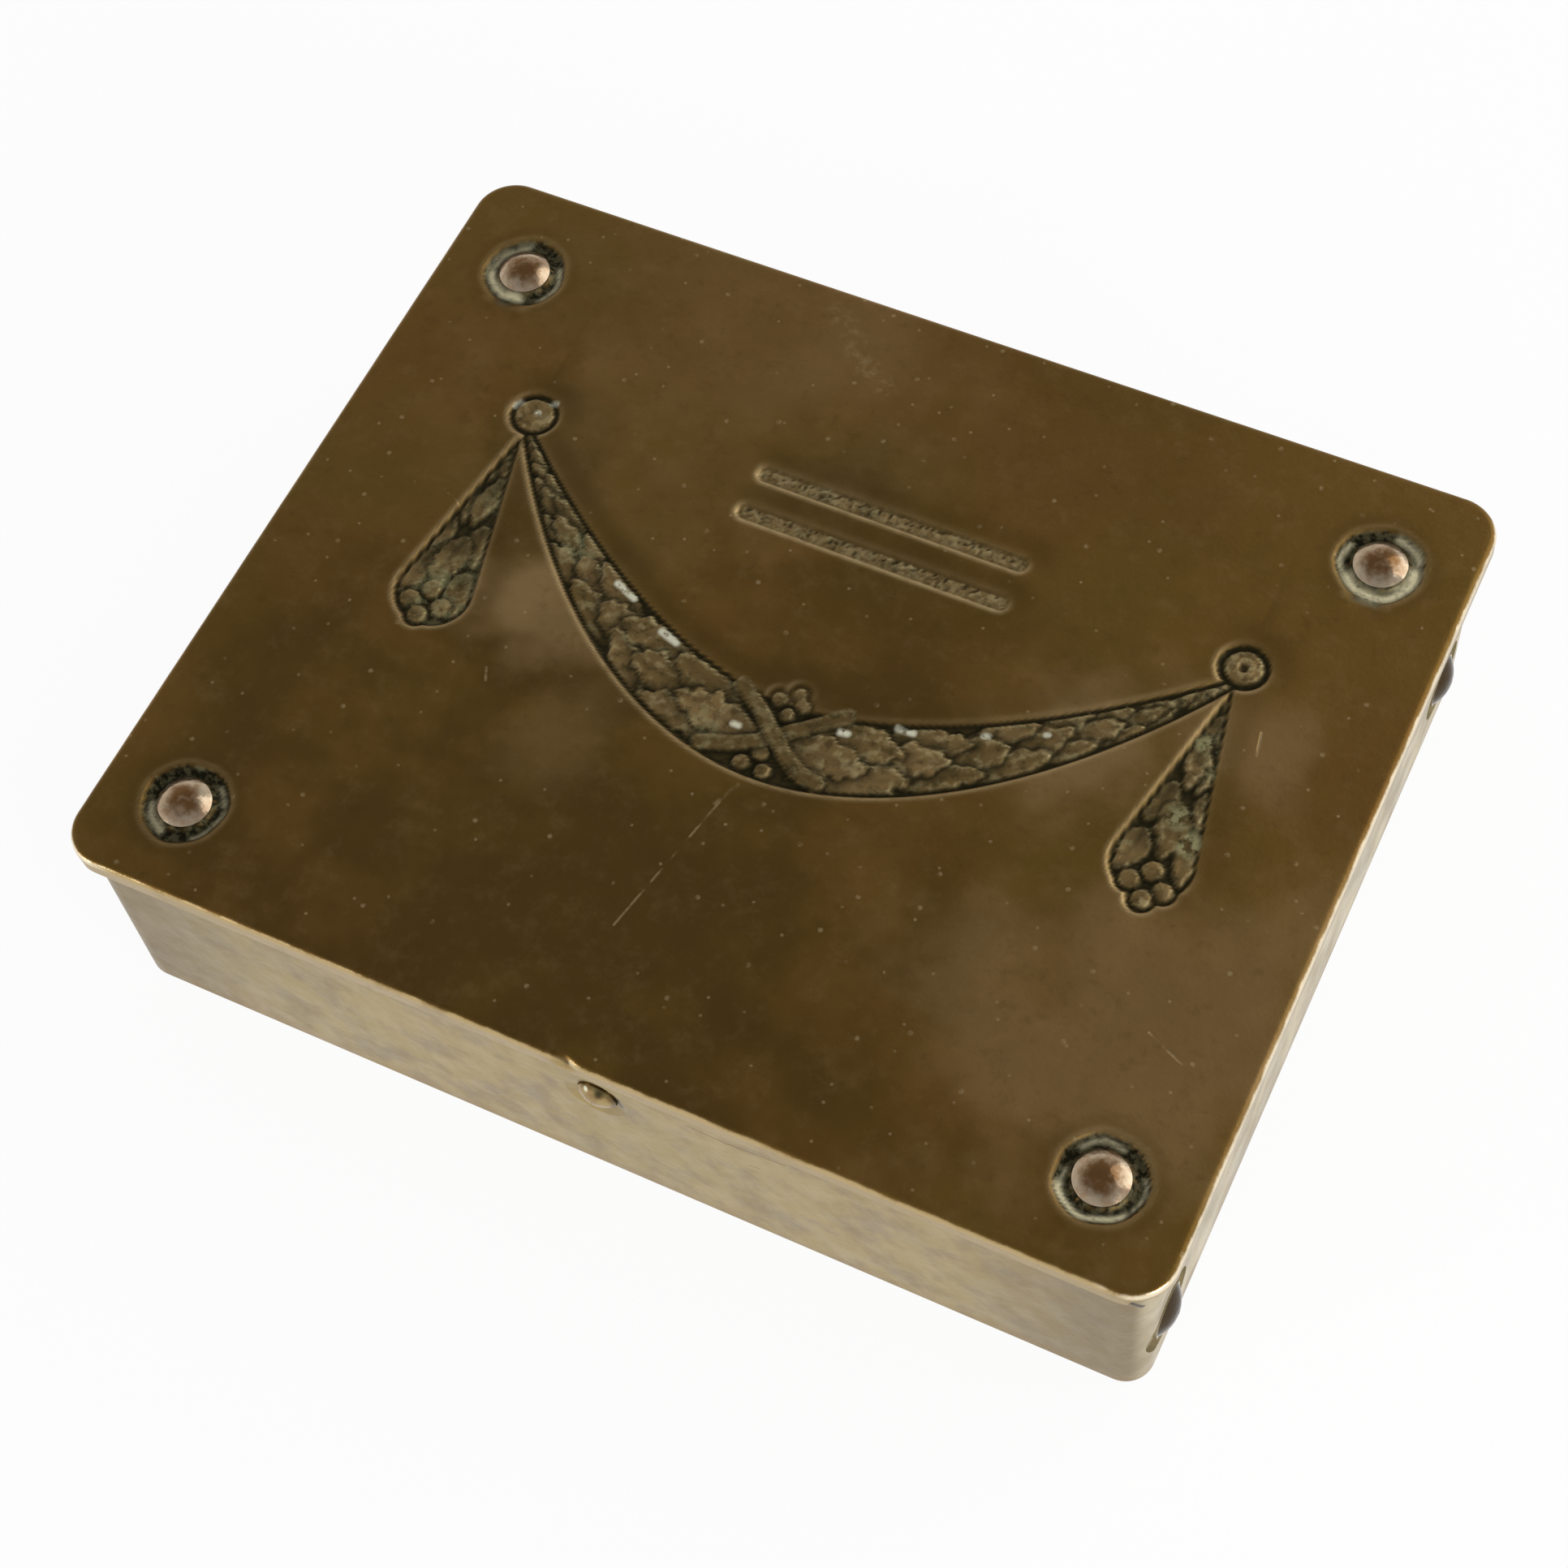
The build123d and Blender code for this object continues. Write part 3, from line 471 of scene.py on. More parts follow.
def leaf_pad(relief, limit, centre, direction, length, width, widest=0.6, seed=0):
    """A leaf that rises to its tip, with an uneven outline and a toothed outer end."""
    x = relief.x - centre[0]
    y = relief.y - centre[1]
    along = x * direction[0] + y * direction[1]
    across = -x * direction[1] + y * direction[0]
    share = np.clip(along / length + 0.5, 0, 1)
    swell = np.sin(math.pi * share ** (math.log(0.5) / math.log(widest))) ** 0.75
    teeth = np.abs(((along / (0.2 * length) + 0.37 * seed) % 1) - 0.5) * 2
    toothed = smooth_step(0.3, 0.65, share)
    uneven = 0.1 * Waves(100 + seed, 1.6, 6).at(relief.x, relief.y)
    half = width / 2 * (swell * (1 - 0.2 * toothed * teeth) + uneven)
    ends = (0.5 * length - np.abs(along)) * 0.9
    inside = np.minimum(np.minimum((half - np.abs(across)) * 0.85, ends), limit)
    rise = LEAF_FOOT_HEIGHT + LEAF_RISE * share**1.3
    hollow = LEAF_HOLLOW * bump(across, width * 0.25)
    veined = width > VEINED_WIDTH
    vein = LEAF_VEIN * bump(across, 0.12) * veined
    tone = (0.618 * seed) % 1
    # Painted shade at the leaf's base, where the next leaf overlaps it, and along the vein of wide
    # leaves
    shade = 0.95 * (1 - smooth_step(0.15, 0.7, share)) + 0.4 * bump(across, 0.22) * veined
    relief.raise_pad(inside, rise - hollow + vein, rim=0.4 + 0.6 * toothed, tone=tone, shade=shade)


def swag_leaves(relief, limit):
    """Overlapping leaves laid from the swag's ends to its middle, with their tips outwards."""
    leaves = []
    source = np.random.default_rng(12)
    for side in (-1, 1):
        along = SWAG_LEAF_START
        middle_row = True
        while along < SWAG_LEAF_END:
            half_width = swag_half_width(along)
            narrow = half_width < SWAG_NARROW
            length = 3.4 if narrow else 1.8 + 2.0 * half_width
            turn_x, turn_y = swag_direction(side * along)
            offsets = (0.0,) if middle_row or narrow else (-SWAG_LEAF_OFFSET, SWAG_LEAF_OFFSET)
            for offset in offsets:
                x, y = swag_point(side * along)
                place = (x - turn_y * offset * half_width, y + turn_x * offset * half_width)
                width = (1.9 if narrow else 1.15 if middle_row else 1.0) * half_width
                sway = 0.0 if narrow else math.radians(source.normal(0, SWAG_LEAF_SWAY))
                outwards = math.atan2(side * turn_y, side * turn_x) + sway
                direction = (math.cos(outwards), math.sin(outwards))
                size = (length * source.uniform(0.9, 1.2), width * source.uniform(0.9, 1.15))
                leaves.append((along, place, direction, size))
            along += SWAG_LEAF_OVERLAP * length / SWAG_HALF_SPAN * turn_x
            middle_row = not middle_row
    leaves.sort(key=lambda leaf: -leaf[0])
    for index, (_, place, direction, size) in enumerate(leaves):
        leaf_pad(relief, limit, place, direction, *size, seed=index)


def berry(relief, centre, radius):
    distance = relief.away(centre)
    crown = -0.05 - 0.13 * (distance / radius) ** 2
    relief.raise_pad(radius - distance, crown, rim=0.45)


def lobe(relief, centre, radius):
    """A small open loop that stands in a shallow hollow."""
    distance = relief.away(centre)
    relief.raise_pad(radius - distance, -0.12 + 0.05 * bump(distance - 0.75 * radius, 0.2), rim=0.9)


def drop(relief, side):
    """A hanging drop of leaves that point down, with berries at its foot."""
    inside = drop_inside(relief.x, relief.y, side)
    relief.sink(inside, FLOOR_DEPTH, faint_edge=DROP_FAINT_EDGE[side])
    for index, (across, y, turn, length, width) in enumerate(DROP_LEAVES):
        angle = math.radians(side * turn - 90)
        place = (drop_axis(side, y) + side * across, y)
        direction = (math.cos(angle), math.sin(angle))
        seed = index + 20 * side
        leaf_pad(relief, inside - 0.6 * BORDER, place, direction, length, width, 0.45, seed)
    for place in drop_berries(side):
        berry(relief, place, DROP_BERRY_RADIUS)


def ribbon(relief, points, top):
    """A flat bent ribbon through given points, with a raised edge on each side."""
    inside = np.full_like(relief.x, -9.0)
    dense = np.linspace(0, len(points) - 1, 60)
    line = [np.interp(dense, range(len(points)), values) for values in zip(*points)]
    for place in zip(*line):
        inside = np.maximum(inside, RIBBON_WIDTH / 2 - relief.away(place))
    crown = top - 0.06 * smooth_step(0.3, 0.7, inside)
    relief.raise_pad(inside, crown, rim=0.5, tone=0.2, shade=0.45)


def rosette(relief, side):
    """A round boss in a ring groove. The right one is ringed and pierced, the left one domed."""
    centre_x = ORNAMENT_X + side * ROSETTE_HALF_SPACING
    distance = relief.away((centre_x, ROSETTE_Y))
    boss = ROSETTE_BOSS[side] - distance
    relief.sink(ROSETTE_RADIUS - distance, ROSETTE_DEPTH)
    if side > 0:
        rings = 0.1 * bump(distance - 0.8, 0.22) - 0.1 * bump(distance - 1.2, 0.25)
        relief.raise_pad(boss, -0.12 + rings, rim=1.0)
        relief.strengthen("ridge", 0.7 * bump(distance - 0.75, 0.18))
        pit = smooth_step(0.55, 0.3, distance)
        relief.height -= 0.25 * pit
        # Painted shade in the pit
        relief.strengthen("groove", pit)
    else:
        relief.raise_pad(boss, -0.1 - 0.04 * distance, rim=0.5)
        # A painted highlight on the left boss, on a slight bump
        spot = bump(relief.away((centre_x + 0.3, ROSETTE_Y + 0.1)), 0.28)
        relief.height += 0.05 * spot
        relief.strengthen("ridge", spot)


def bar(relief, side, beads):
    """A stamped bar with a rough, beaded floor, pale with wear and painted highlights on its front
    edge and bead tops, with painted shade between the beads.
    """
    beyond = np.maximum(np.abs(relief.x - BAR_X) - (BAR_LENGTH - BAR_WIDTH) / 2, 0)
    inside = BAR_WIDTH / 2 - np.hypot(beyond, relief.y - BAR_Y - side * BAR_SPACING / 2)
    relief.sink(inside, BAR_DEPTH, dirt=0.4)
    lit = relief.lit(inside)
    # A pale line of wear with a painted highlight along the edge, brightest at the front
    relief.strengthen("lip", (0.75 + 0.6 * lit) * edge_line(inside, BAR_LIP_LINE))
    floor = smooth_step(0.0, 0.25, inside)
    # Painted shade: dark squiggles where the beads are low
    squiggles = floor * smooth_step(-0.2, -0.8, beads)
    relief.height += floor * (0.12 + 0.1 * beads)
    relief.strengthen("leaf", floor)
    relief.strengthen("tone", 0.6 * floor)
    relief.groove = np.where(inside > -0.3, (0.75 - 0.25 * lit) * squiggles, relief.groove)
    # Wear with painted highlights on the floor, strongest on the tops of the beads
    relief.strengthen("ridge", floor * (0.3 + 0.35 * smooth_step(0.3, 1.2, beads)))


def ornament(relief):
    """The stamped festoon: swag, drops, rosettes and two bars."""
    outline = swag_inside(relief.x, relief.y)
    relief.sink(outline, FLOOR_DEPTH)
    for place in KNOT_LOW_BERRIES:
        relief.sink(BERRY_RADIUS + BERRY_GAP - relief.away(place), 0.3, shoulder=0.15)
    for place in KNOT_HIGH_LOBES:
        relief.sink(BERRY_RADIUS + BERRY_GAP - relief.away(place), 0.2, shoulder=0.15, dirt=0.4)
    swag_leaves(relief, outline - BORDER)
    for place in KNOT_LOW_BERRIES:
        berry(relief, place, BERRY_RADIUS)
    for place in KNOT_HIGH_LOBES:
        lobe(relief, place, LOBE_RADIUS)
    ribbon(relief, RIBBON_UNDER, -0.14)
    ribbon(relief, RIBBON_OVER, -0.05)
    beads = Waves(5, 0.6, 24).at(relief.x, relief.y)
    for side in (-1, 1):
        drop(relief, side)
        rosette(relief, side)
        bar(relief, side, beads)


def wells(relief):
    """Ring wells round the four studs, with uneven outer edges and pale residue in them."""
    for index, (name, centre) in enumerate(LID_STUDS.items()):
        distance = relief.away(centre)
        turn = np.arctan2(relief.y - centre[1], relief.x - centre[0])
        uneven = 0.07 * np.sin(3 * turn + 1.7 * index) + 0.04 * np.sin(7 * turn + index)
        outside = WELL_OUTER + uneven - distance
        inside = np.minimum(outside, distance - WELL_INNER)
        share = smooth_step(-0.12, 0.3, inside)
        relief.height = np.where(share > 0, -WELL_DEPTH * share, relief.height)
        relief.strengthen("well", smooth_step(-0.06, 0.12, inside))
        relief.strengthen("well", smooth_step(WELL_INNER + 0.1, WELL_INNER - 0.1, distance))
        # A pale line of wear with a painted highlight round the well, and painted shade just
        # outside it
        relief.strengthen("lip", 0.3 * edge_line(outside, WELL_LIP_LINE))
        relief.strengthen("dusk", 0.5 * edge_line(outside, WELL_DUSK_LINE))
        for start, end, radius, width, strength in WELL_RESIDUE[name]:
            middle = math.radians((start + end) / 2)
            reach = math.radians((end - start) / 2)
            off = np.abs((turn - middle + math.pi) % (2 * math.pi) - math.pi)
            band = bump(distance - radius - 1.5 * uneven, width)
            patch = strength * band * smooth_step(reach, reach * 0.75, off)
            relief.strengthen("residue", patch)
            relief.height += RESIDUE_HEIGHT * patch


def grid_lines(half, spans):
    """Grid lines from -half to half: fine inside the spans, closer near the round corners."""
    lines = [-half]
    while lines[-1] < half - 1e-9:
        here = lines[-1]
        step = COARSE_STEP
        if abs(here) > half - CORNER_RADIUS - COARSE_STEP:
            step = CORNER_STEP
        if any(low <= here < high for low, high in spans):
            step = FINE_STEP
        lines.append(min(here + step, half))
    if lines[-1] - lines[-2] < 0.3 * FINE_STEP:
        del lines[-2]
    return np.array(lines)


def make_mesh(name, points, faces, attributes=None, smooth=True):
    """A mesh object from points in millimetres, with named values for each point."""
    mesh = bpy.data.meshes.new(name)
    mesh.from_pydata((np.asarray(points) * MM).tolist(), [], faces)
    mesh.polygons.foreach_set("use_smooth", [smooth] * len(mesh.polygons))
    for key, values in (attributes or {}).items():
        layer = mesh.attributes.new(key, "FLOAT", "POINT")
        layer.data.foreach_set("value", np.asarray(values, np.float32))
    mesh.update()
    thing = bpy.data.objects.new(name, mesh)
    bpy.context.scene.collection.objects.link(thing)
    return thing


def rounded_grid(half_x, half_y, radius, x_lines, y_lines):
    """Points of a grid pressed into a rectangle with round corners."""
    x, y = np.meshgrid(x_lines, y_lines, indexing="ij")
    corner_x = half_x - radius
    corner_y = half_y - radius
    u = np.clip(np.abs(x) - corner_x, 0, None) / radius
    v = np.clip(np.abs(y) - corner_y, 0, None) / radius
    in_corner = (u > 0) & (v > 0)
    round_x = corner_x + radius * u * np.sqrt(1 - v**2 / 2)
    round_y = corner_y + radius * v * np.sqrt(1 - u**2 / 2)
    x = np.where(in_corner, np.sign(x) * round_x, x)
    y = np.where(in_corner, np.sign(y) * round_y, y)
    return x, y


def outline_order(columns, rows):
    """Indices of the grid's boundary points, counter-clockwise from the front left corner."""
    grid = np.arange(columns * rows).reshape(columns, rows)
    sides = [grid[:, 0], grid[-1, 1:], grid[-2::-1, -1], grid[0, -2:0:-1]]
    return np.concatenate(sides).tolist()


def rim_profile():
    """The lid's edge as steps outwards and heights, from the top face to the underside."""
    turns = np.radians(EDGE_TURNS)
    steps = zip(EDGE_ROUND * np.sin(turns), LID_TOP - EDGE_ROUND * (1 - np.cos(turns)))
    foot = RIM_BOTTOM + RIM_FOOT
    side = [(EDGE_ROUND, height) for height in (LID_UNDERSIDE, foot + NOTCH_STEP, foot)]
    inner = [(EDGE_ROUND - RIM_SHEET, height) for height in (RIM_BOTTOM, LID_UNDERSIDE)]
    return [*steps, *side, (EDGE_ROUND - RIM_FOOT, RIM_BOTTOM), *inner]


def outward_directions(edge_x, edge_y, half_x, half_y, radius):
    """Unit directions out of a rounded rectangle at points of its outline."""
    out_x = np.sign(edge_x) * np.clip(np.abs(edge_x) - (half_x - radius), 0, None)
    out_y = np.sign(edge_y) * np.clip(np.abs(edge_y) - (half_y - radius), 0, None)
    straight = np.isclose(np.abs(edge_x), half_x) & (np.abs(edge_y) < half_y - radius)
    out_y = np.where(straight, 0, out_y)
    length = np.hypot(out_x, out_y)
    return out_x / length, out_y / length


def lid_grid(half_x, half_y):
    """Grid lines of the lid's top: fine at the relief and doubled beside the hinge notch."""
    reach = WELL_OUTER + WELL_MARGIN
    stud_rows = [(centre[1] - reach, centre[1] + reach) for centre in LID_STUDS.values()]
    widest = max(centre[0] for centre in LID_STUDS.values()) + reach
    ornament_rows = (SWAG_LOW_Y - SWAG_MIDDLE_HALF_WIDTH - 1, BAR_Y + BAR_SPACING / 2 + 2)
    x_lines = grid_lines(half_x, [(-widest, widest)])
    y_lines = grid_lines(half_y, [*stud_rows, ornament_rows])
    notch = HINGE_NOTCH_HALF + np.array([-NOTCH_STEP, NOTCH_STEP])
    x_lines = np.unique(np.round(np.concatenate([x_lines, -notch, notch]), 4))
    return x_lines, y_lines


def grid_faces(columns, rows):
    """Faces between the points of a grid."""
    starts = (i * rows + j for i in range(columns - 1) for j in range(rows - 1))
    return [(a, a + rows, a + rows + 1, a + 1) for a in starts]


def rim_cuts(edge_x, edge_y, out_x, out_y):
    """Where the rim is cut away: round the front corners and at the hinge."""
    corner_turn = np.degrees(np.arctan2(-out_y, np.abs(out_x)))
    corners = (corner_turn > CORNER_CUT_START) & (corner_turn < CORNER_CUT_END)
    return corners | ((np.abs(edge_x) < HINGE_NOTCH_HALF) & (edge_y > 0))


def knock_edge(points):
    """Presses the knock into the lid's front edge."""
    knock = bump(points[:, 0] - DENT_X, DENT_HALF_WIDTH)
    knock = knock * bump(points[:, 1] + LID_HALF_Y, DENT_REACH) * (points[:, 2] > LID_UNDERSIDE)
    points[:, 1] += DENT_DEPTH * knock
    points[:, 2] -= DENT_DEPTH * knock


def make_lid():
    """The lid's sheet: the stamped top, then rings of points down its edge and round its rim."""
    half_x = LID_HALF_X - EDGE_ROUND
    half_y = LID_HALF_Y - EDGE_ROUND
    radius = CORNER_RADIUS - EDGE_ROUND
    x_lines, y_lines = lid_grid(half_x, half_y)
    x, y = rounded_grid(half_x, half_y, radius, x_lines, y_lines)
    relief = Relief(x, y, x_lines, y_lines)
    ornament(relief)
    wells(relief)
    relief.lip *= 1 - np.maximum(relief.recess, relief.well)
    relief.dusk *= 1 - relief.recess

    flat_x, flat_y = x.ravel(), y.ravel()
    points = [np.column_stack([flat_x, flat_y, LID_TOP + relief.height.ravel()])]
    faces = grid_faces(*x.shape)

    before = outline_order(*x.shape)
    edge_x, edge_y = flat_x[before], flat_y[before]
    out_x, out_y = outward_directions(edge_x, edge_y, half_x, half_y, radius)
    cut = rim_cuts(edge_x, edge_y, out_x, out_y)
    count = x.size
    size = len(before)
    profile = rim_profile()
    first_flat = len(faces) + size * [height for _, height in profile].index(RIM_BOTTOM)
    edge = [np.zeros(count)]
    for index, (outwards, height) in enumerate(profile):
        step = NOTCH_STEP if index < len(profile) - 1 else 0
        heights = np.where(cut & (height < LID_UNDERSIDE), LID_UNDERSIDE - step, height)
        ring = (edge_x + out_x * outwards, edge_y + out_y * outwards, heights)
        points.append(np.column_stack(ring))
        now = list(range(count, count + size))
        faces += zip(before, now, now[1:] + now[:1], before[1:] + before[:1])
        edge.append(np.full(size, min(1.0, (LID_TOP - height) / (0.5 * EDGE_ROUND))))
        before = now
        count += size
    faces.append(tuple(before[::-1]))

    points = np.vstack(points)
    knock_edge(points)
    below = np.zeros(count - x.size)
    masks = {name: np.append(getattr(relief, name), below) for name in Relief.MASKS}
    lid = make_mesh("lid_sheet", points, faces, {**masks, "edge": np.concatenate(edge)})
    for face in lid.data.polygons[first_flat:]:
        face.use_smooth = False
    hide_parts("lid_plate")
    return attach(lid, "lid")


# Materials, all worked out from position in the object


def put(tree, value, socket):
    """Links a socket to another one, or sets it to a plain number, colour or vector."""
    if isinstance(value, bpy.types.NodeSocket):
        tree.links.new(value, socket)
    else:
        socket.default_value = value


def add_node(tree, kind, inputs, **settings):
    """A new shader node with its settings, and its inputs linked or set."""
    node = tree.nodes.new("ShaderNode" + kind)
    for name, value in settings.items():
        setattr(node, name, value)
    for key, value in inputs.items():
        put(tree, value, node.inputs[key])
    return node


class Graph:
    """A short way to write a material's nodes. Places and sizes are in millimetres."""

    def __init__(self, name):
        self.material = bpy.data.materials.new(name)
        self.material.use_nodes = True
        self.tree = self.material.node_tree
        self.shader = self.tree.nodes["Principled BSDF"]
        coordinates = self.node("TexCoord", {})
        inputs = {0: coordinates.outputs["Object"], "Scale": 1 / MM}
        self.place = self.node("VectorMath", inputs, operation="SCALE").outputs[0]
        self.x, self.y, self.z = self.node("SeparateXYZ", {0: self.place}).outputs

    def node(self, kind, inputs, **settings):
        return add_node(self.tree, kind, inputs, **settings)

    def math(self, operation, first, second=0.0, clamp=False):
        inputs = {0: first, 1: second}
        node = self.node("Math", inputs, operation=operation, use_clamp=clamp)
        return node.outputs[0]

    def times(self, first, second):
        return self.math("MULTIPLY", first, second)

    def plus(self, first, second):
        return self.math("ADD", first, second)

    def most(self, values, operation="MAXIMUM"):
        result = values[0]
        for value in values[1:]:
            result = self.math(operation, result, value)
        return result

    def least(self, values):
        return self.most(values, "MINIMUM")

    def span(self, value, low, high, to_low=0.0, to_high=1.0):
        """Maps low..high to to_low..to_high, smoothly and clamped."""
        inputs = {"Value": value, "From Min": low, "From Max": high}
        inputs |= {"To Min": to_low, "To Max": to_high}
        node = self.node("MapRange", inputs, interpolation_type="SMOOTHSTEP")
        return node.outputs["Result"]

    def mix(self, share, first, second, strength=1.0):
        """The first colour, turned into the second by a share, which a strength may weaken."""
        if strength != 1.0:
            share = self.times(share, strength)
        inputs = {"Factor": share, "A": light(first), "B": light(second)}
        return self.node("Mix", inputs, data_type="RGBA").outputs["Result"]

    def coat(self, colour, *layers):
        """Lays tones over a colour. A layer is a share, a tone and perhaps a strength."""
        for share, tone, *strength in layers:
            colour = self.mix(share, colour, tone, *strength)
        return colour

    def vector(self, operation, *values):
        inputs = dict(enumerate(values))
        return self.node("VectorMath", inputs, operation=operation).outputs

    def moved(self, shift, stretch=(1, 1, 1)):
        """The place, shifted and stretched, so that one pattern doesn't repeat another."""
        location = (shift, shift * 0.7, shift * 1.3)
        inputs = {"Location": location, "Scale": stretch, "Vector": self.place}
        return self.node("Mapping", inputs).outputs[0]

    def noise(self, size, detail=4.0, roughness=0.55, shift=0.0, stretch=(1, 1, 1), distortion=0.0):
        """Noise whose lumps are about a size wide."""
        inputs = {"Scale": 1 / size, "Detail": detail, "Roughness": roughness}
        inputs |= {"Distortion": distortion, "Vector": self.moved(shift, stretch)}
        return self.node("TexNoise", inputs).outputs["Fac"]

    def wander(self, size, low, high, detail=4.0, roughness=0.6, shift=0.0):
        """A value that wanders between low and high, over lumps of a size."""
        return self.span(self.noise(size, detail, roughness, shift), 0.3, 0.7, low, high)

    def dots(self, size, radius, shift=0.0, share=1.0, flat=False):
        """Specks in a share of the cells of a size. Flat ones are the same at every height."""
        inputs = {"Scale": 1 / size, "Vector": self.moved(shift)}
        dimensions = "2D" if flat else "3D"
        cells = self.node("TexVoronoi", inputs, voronoi_dimensions=dimensions)
        spot = self.span(cells.outputs["Distance"], radius / size, 0.4 * radius / size)
        chance = self.node("SeparateColor", {0: cells.outputs["Color"]}).outputs[0]
        return self.times(spot, self.math("LESS_THAN", chance, share))

    def distance_to(self, point, axes=(1, 1, 1)):
        """Distance from a point, along the chosen axes only."""
        away = self.vector("SUBTRACT", self.place, point)[0]
        flat = self.vector("MULTIPLY", away, axes)[0]
        return self.vector("LENGTH", flat)["Value"]

    def scratch(self, start, end, width):
        """1 on a straight scratch between two points, 0 away from it."""
        start, end = Vector(start), Vector(end)
        run = end - start
        away = self.vector("SUBTRACT", self.place, start)[0]
        dot = self.vector("DOT_PRODUCT", away, run / run.length_squared)["Value"]
        inputs = {0: run, "Scale": self.math("ADD", dot, clamp=True)}
        nearest = self.node("VectorMath", inputs, operation="SCALE").outputs[0]
        off = self.vector("SUBTRACT", away, nearest)[0]
        return self.span(self.vector("LENGTH", off)["Value"], width, 0.2 * width)

    def lid_mark(self, start, end, width, depth=0.0):
        """A scratch between two points of the lid's top, or at a depth below it."""
        return self.scratch((*start, LID_TOP - depth), (*end, LID_TOP - depth), width)

    def zone(self, x, y, radius, strength):
        """A soft round zone on the lid, its edge blurred by noise."""
        blur = self.wander(9, -0.3 * radius, 0.3 * radius, 3, 0.5, shift=x)
        distance = self.plus(self.distance_to((x, y, LID_TOP), (1, 1, 0)), blur)
        return self.span(distance, radius, 0.15 * radius, 0.0, strength)

    def bump(self, height, distance):
        """Bump from a height of 0 to 1, worth a distance."""
        inputs = {"Distance": distance * MM, "Height": height}
        put(self.tree, self.node("Bump", inputs).outputs[0], self.shader.inputs["Normal"])

    def finish(self, colour, roughness, metallic):
        ends = {"Base Color": colour, "Roughness": roughness, "Metallic": metallic}
        for key, value in ends.items():
            put(self.tree, value, self.shader.inputs[key])
        return self.material


# Colours as they look on a screen, 0 to 255
LID_BROWN = (114, 86, 37)
LID_RED = (108, 75, 35)
LID_OLIVE = (101, 80, 29)
LID_DARK = (82, 61, 23)
LID_LIGHT = (150, 122, 80)
SPECK = (182, 160, 118)
EDGE_GOLD = (184, 160, 114)
# A painted highlight on the lid's edge
EDGE_HIGHLIGHT = (238, 222, 190)
RIM_SIDE = (166, 143, 98)
LIP_KHAKI = (176, 152, 108)
LEAF_BROWN = (116, 94, 54)
LEAF_RED = (142, 116, 74)
RIDGE_KHAKI = (190, 174, 126)
# Dark dirt, also used for painted shade on the ornament
GRIME_AND_SHADE = (62, 53, 28)
GREEN_BLACK = (28, 26, 10)
VERDIGRIS = (154, 150, 104)
# A painted highlight
GLINT = (236, 234, 206)
WELL_GREY = (84, 78, 54)
RESIDUE = (228, 218, 176)
KHAKI = (167, 146, 97)
KHAKI_GREEN = (162, 143, 94)
KHAKI_GREY = (138, 119, 85)
# A painted reflection on the wall's right face
WALL_RIGHT_REFLECTION = (206, 192, 156)
WALL_END = (126, 108, 76)
STUD_CENTRE = (116, 84, 50)
STUD_PINK = (172, 146, 118)
STUD_RIM = (186, 168, 142)
STUD_DARK = (58, 45, 26)
INNER = (150, 122, 70)
INNER_DARK = (104, 78, 40)
FITTING = (158, 128, 76)
STEEL = (170, 168, 160)
STEEL_BROWN = (120, 100, 80)


def lid_ground(g):
    """The lid's plain patina, with its lighter and darker zones and its pale specks."""
    specks = g.most([g.dots(3.1, 0.2, 9, 0.35, True), g.dots(5.2, 0.3, 3, 0.35, True)])
    ragged = g.span(g.noise(0.35, 3, 0.7, 14), 0.35, 0.6, 0.05, 0.5)
    return g.coat(
        LID_BROWN,
        (g.span(g.noise(24, 3, 0.5), 0.4, 0.65, 0, 0.45), LID_RED),
        (g.span(g.noise(19, 3, 0.5, 40), 0.42, 0.68, 0, 0.5), LID_OLIVE),
        *[(g.zone(*zone), LID_DARK) for zone in DARK_ZONES],
        *[(g.zone(*zone), LID_LIGHT) for zone in LIGHT_ZONES],
        (g.span(g.noise(2.2, 5, 0.7, 11), 0.46, 0.8, 0, 0.2), LID_LIGHT),
        (g.span(g.noise(1.5, 5, 0.7, 57), 0.5, 0.8, 0, 0.35), LID_DARK),
        (g.times(specks, ragged), SPECK),
    )


def lid_hairs(g):
    """Fine scratches, and a rubbed patch near the middle of the lid's rear edge."""
    hairs = g.most([g.lid_mark(*mark) for mark in LID_SCRATCHES])
    hairs = g.times(hairs, g.span(g.noise(1.6, 3, 0.6, 5), 0.38, 0.6))
    patch = g.most([g.lid_mark(*mark) for mark in LID_ABRASION])
    patch = g.times(patch, g.span(g.noise(0.9, 4, 0.65, 5), 0.44, 0.7))
    return g.most([hairs, g.times(patch, 0.55)])


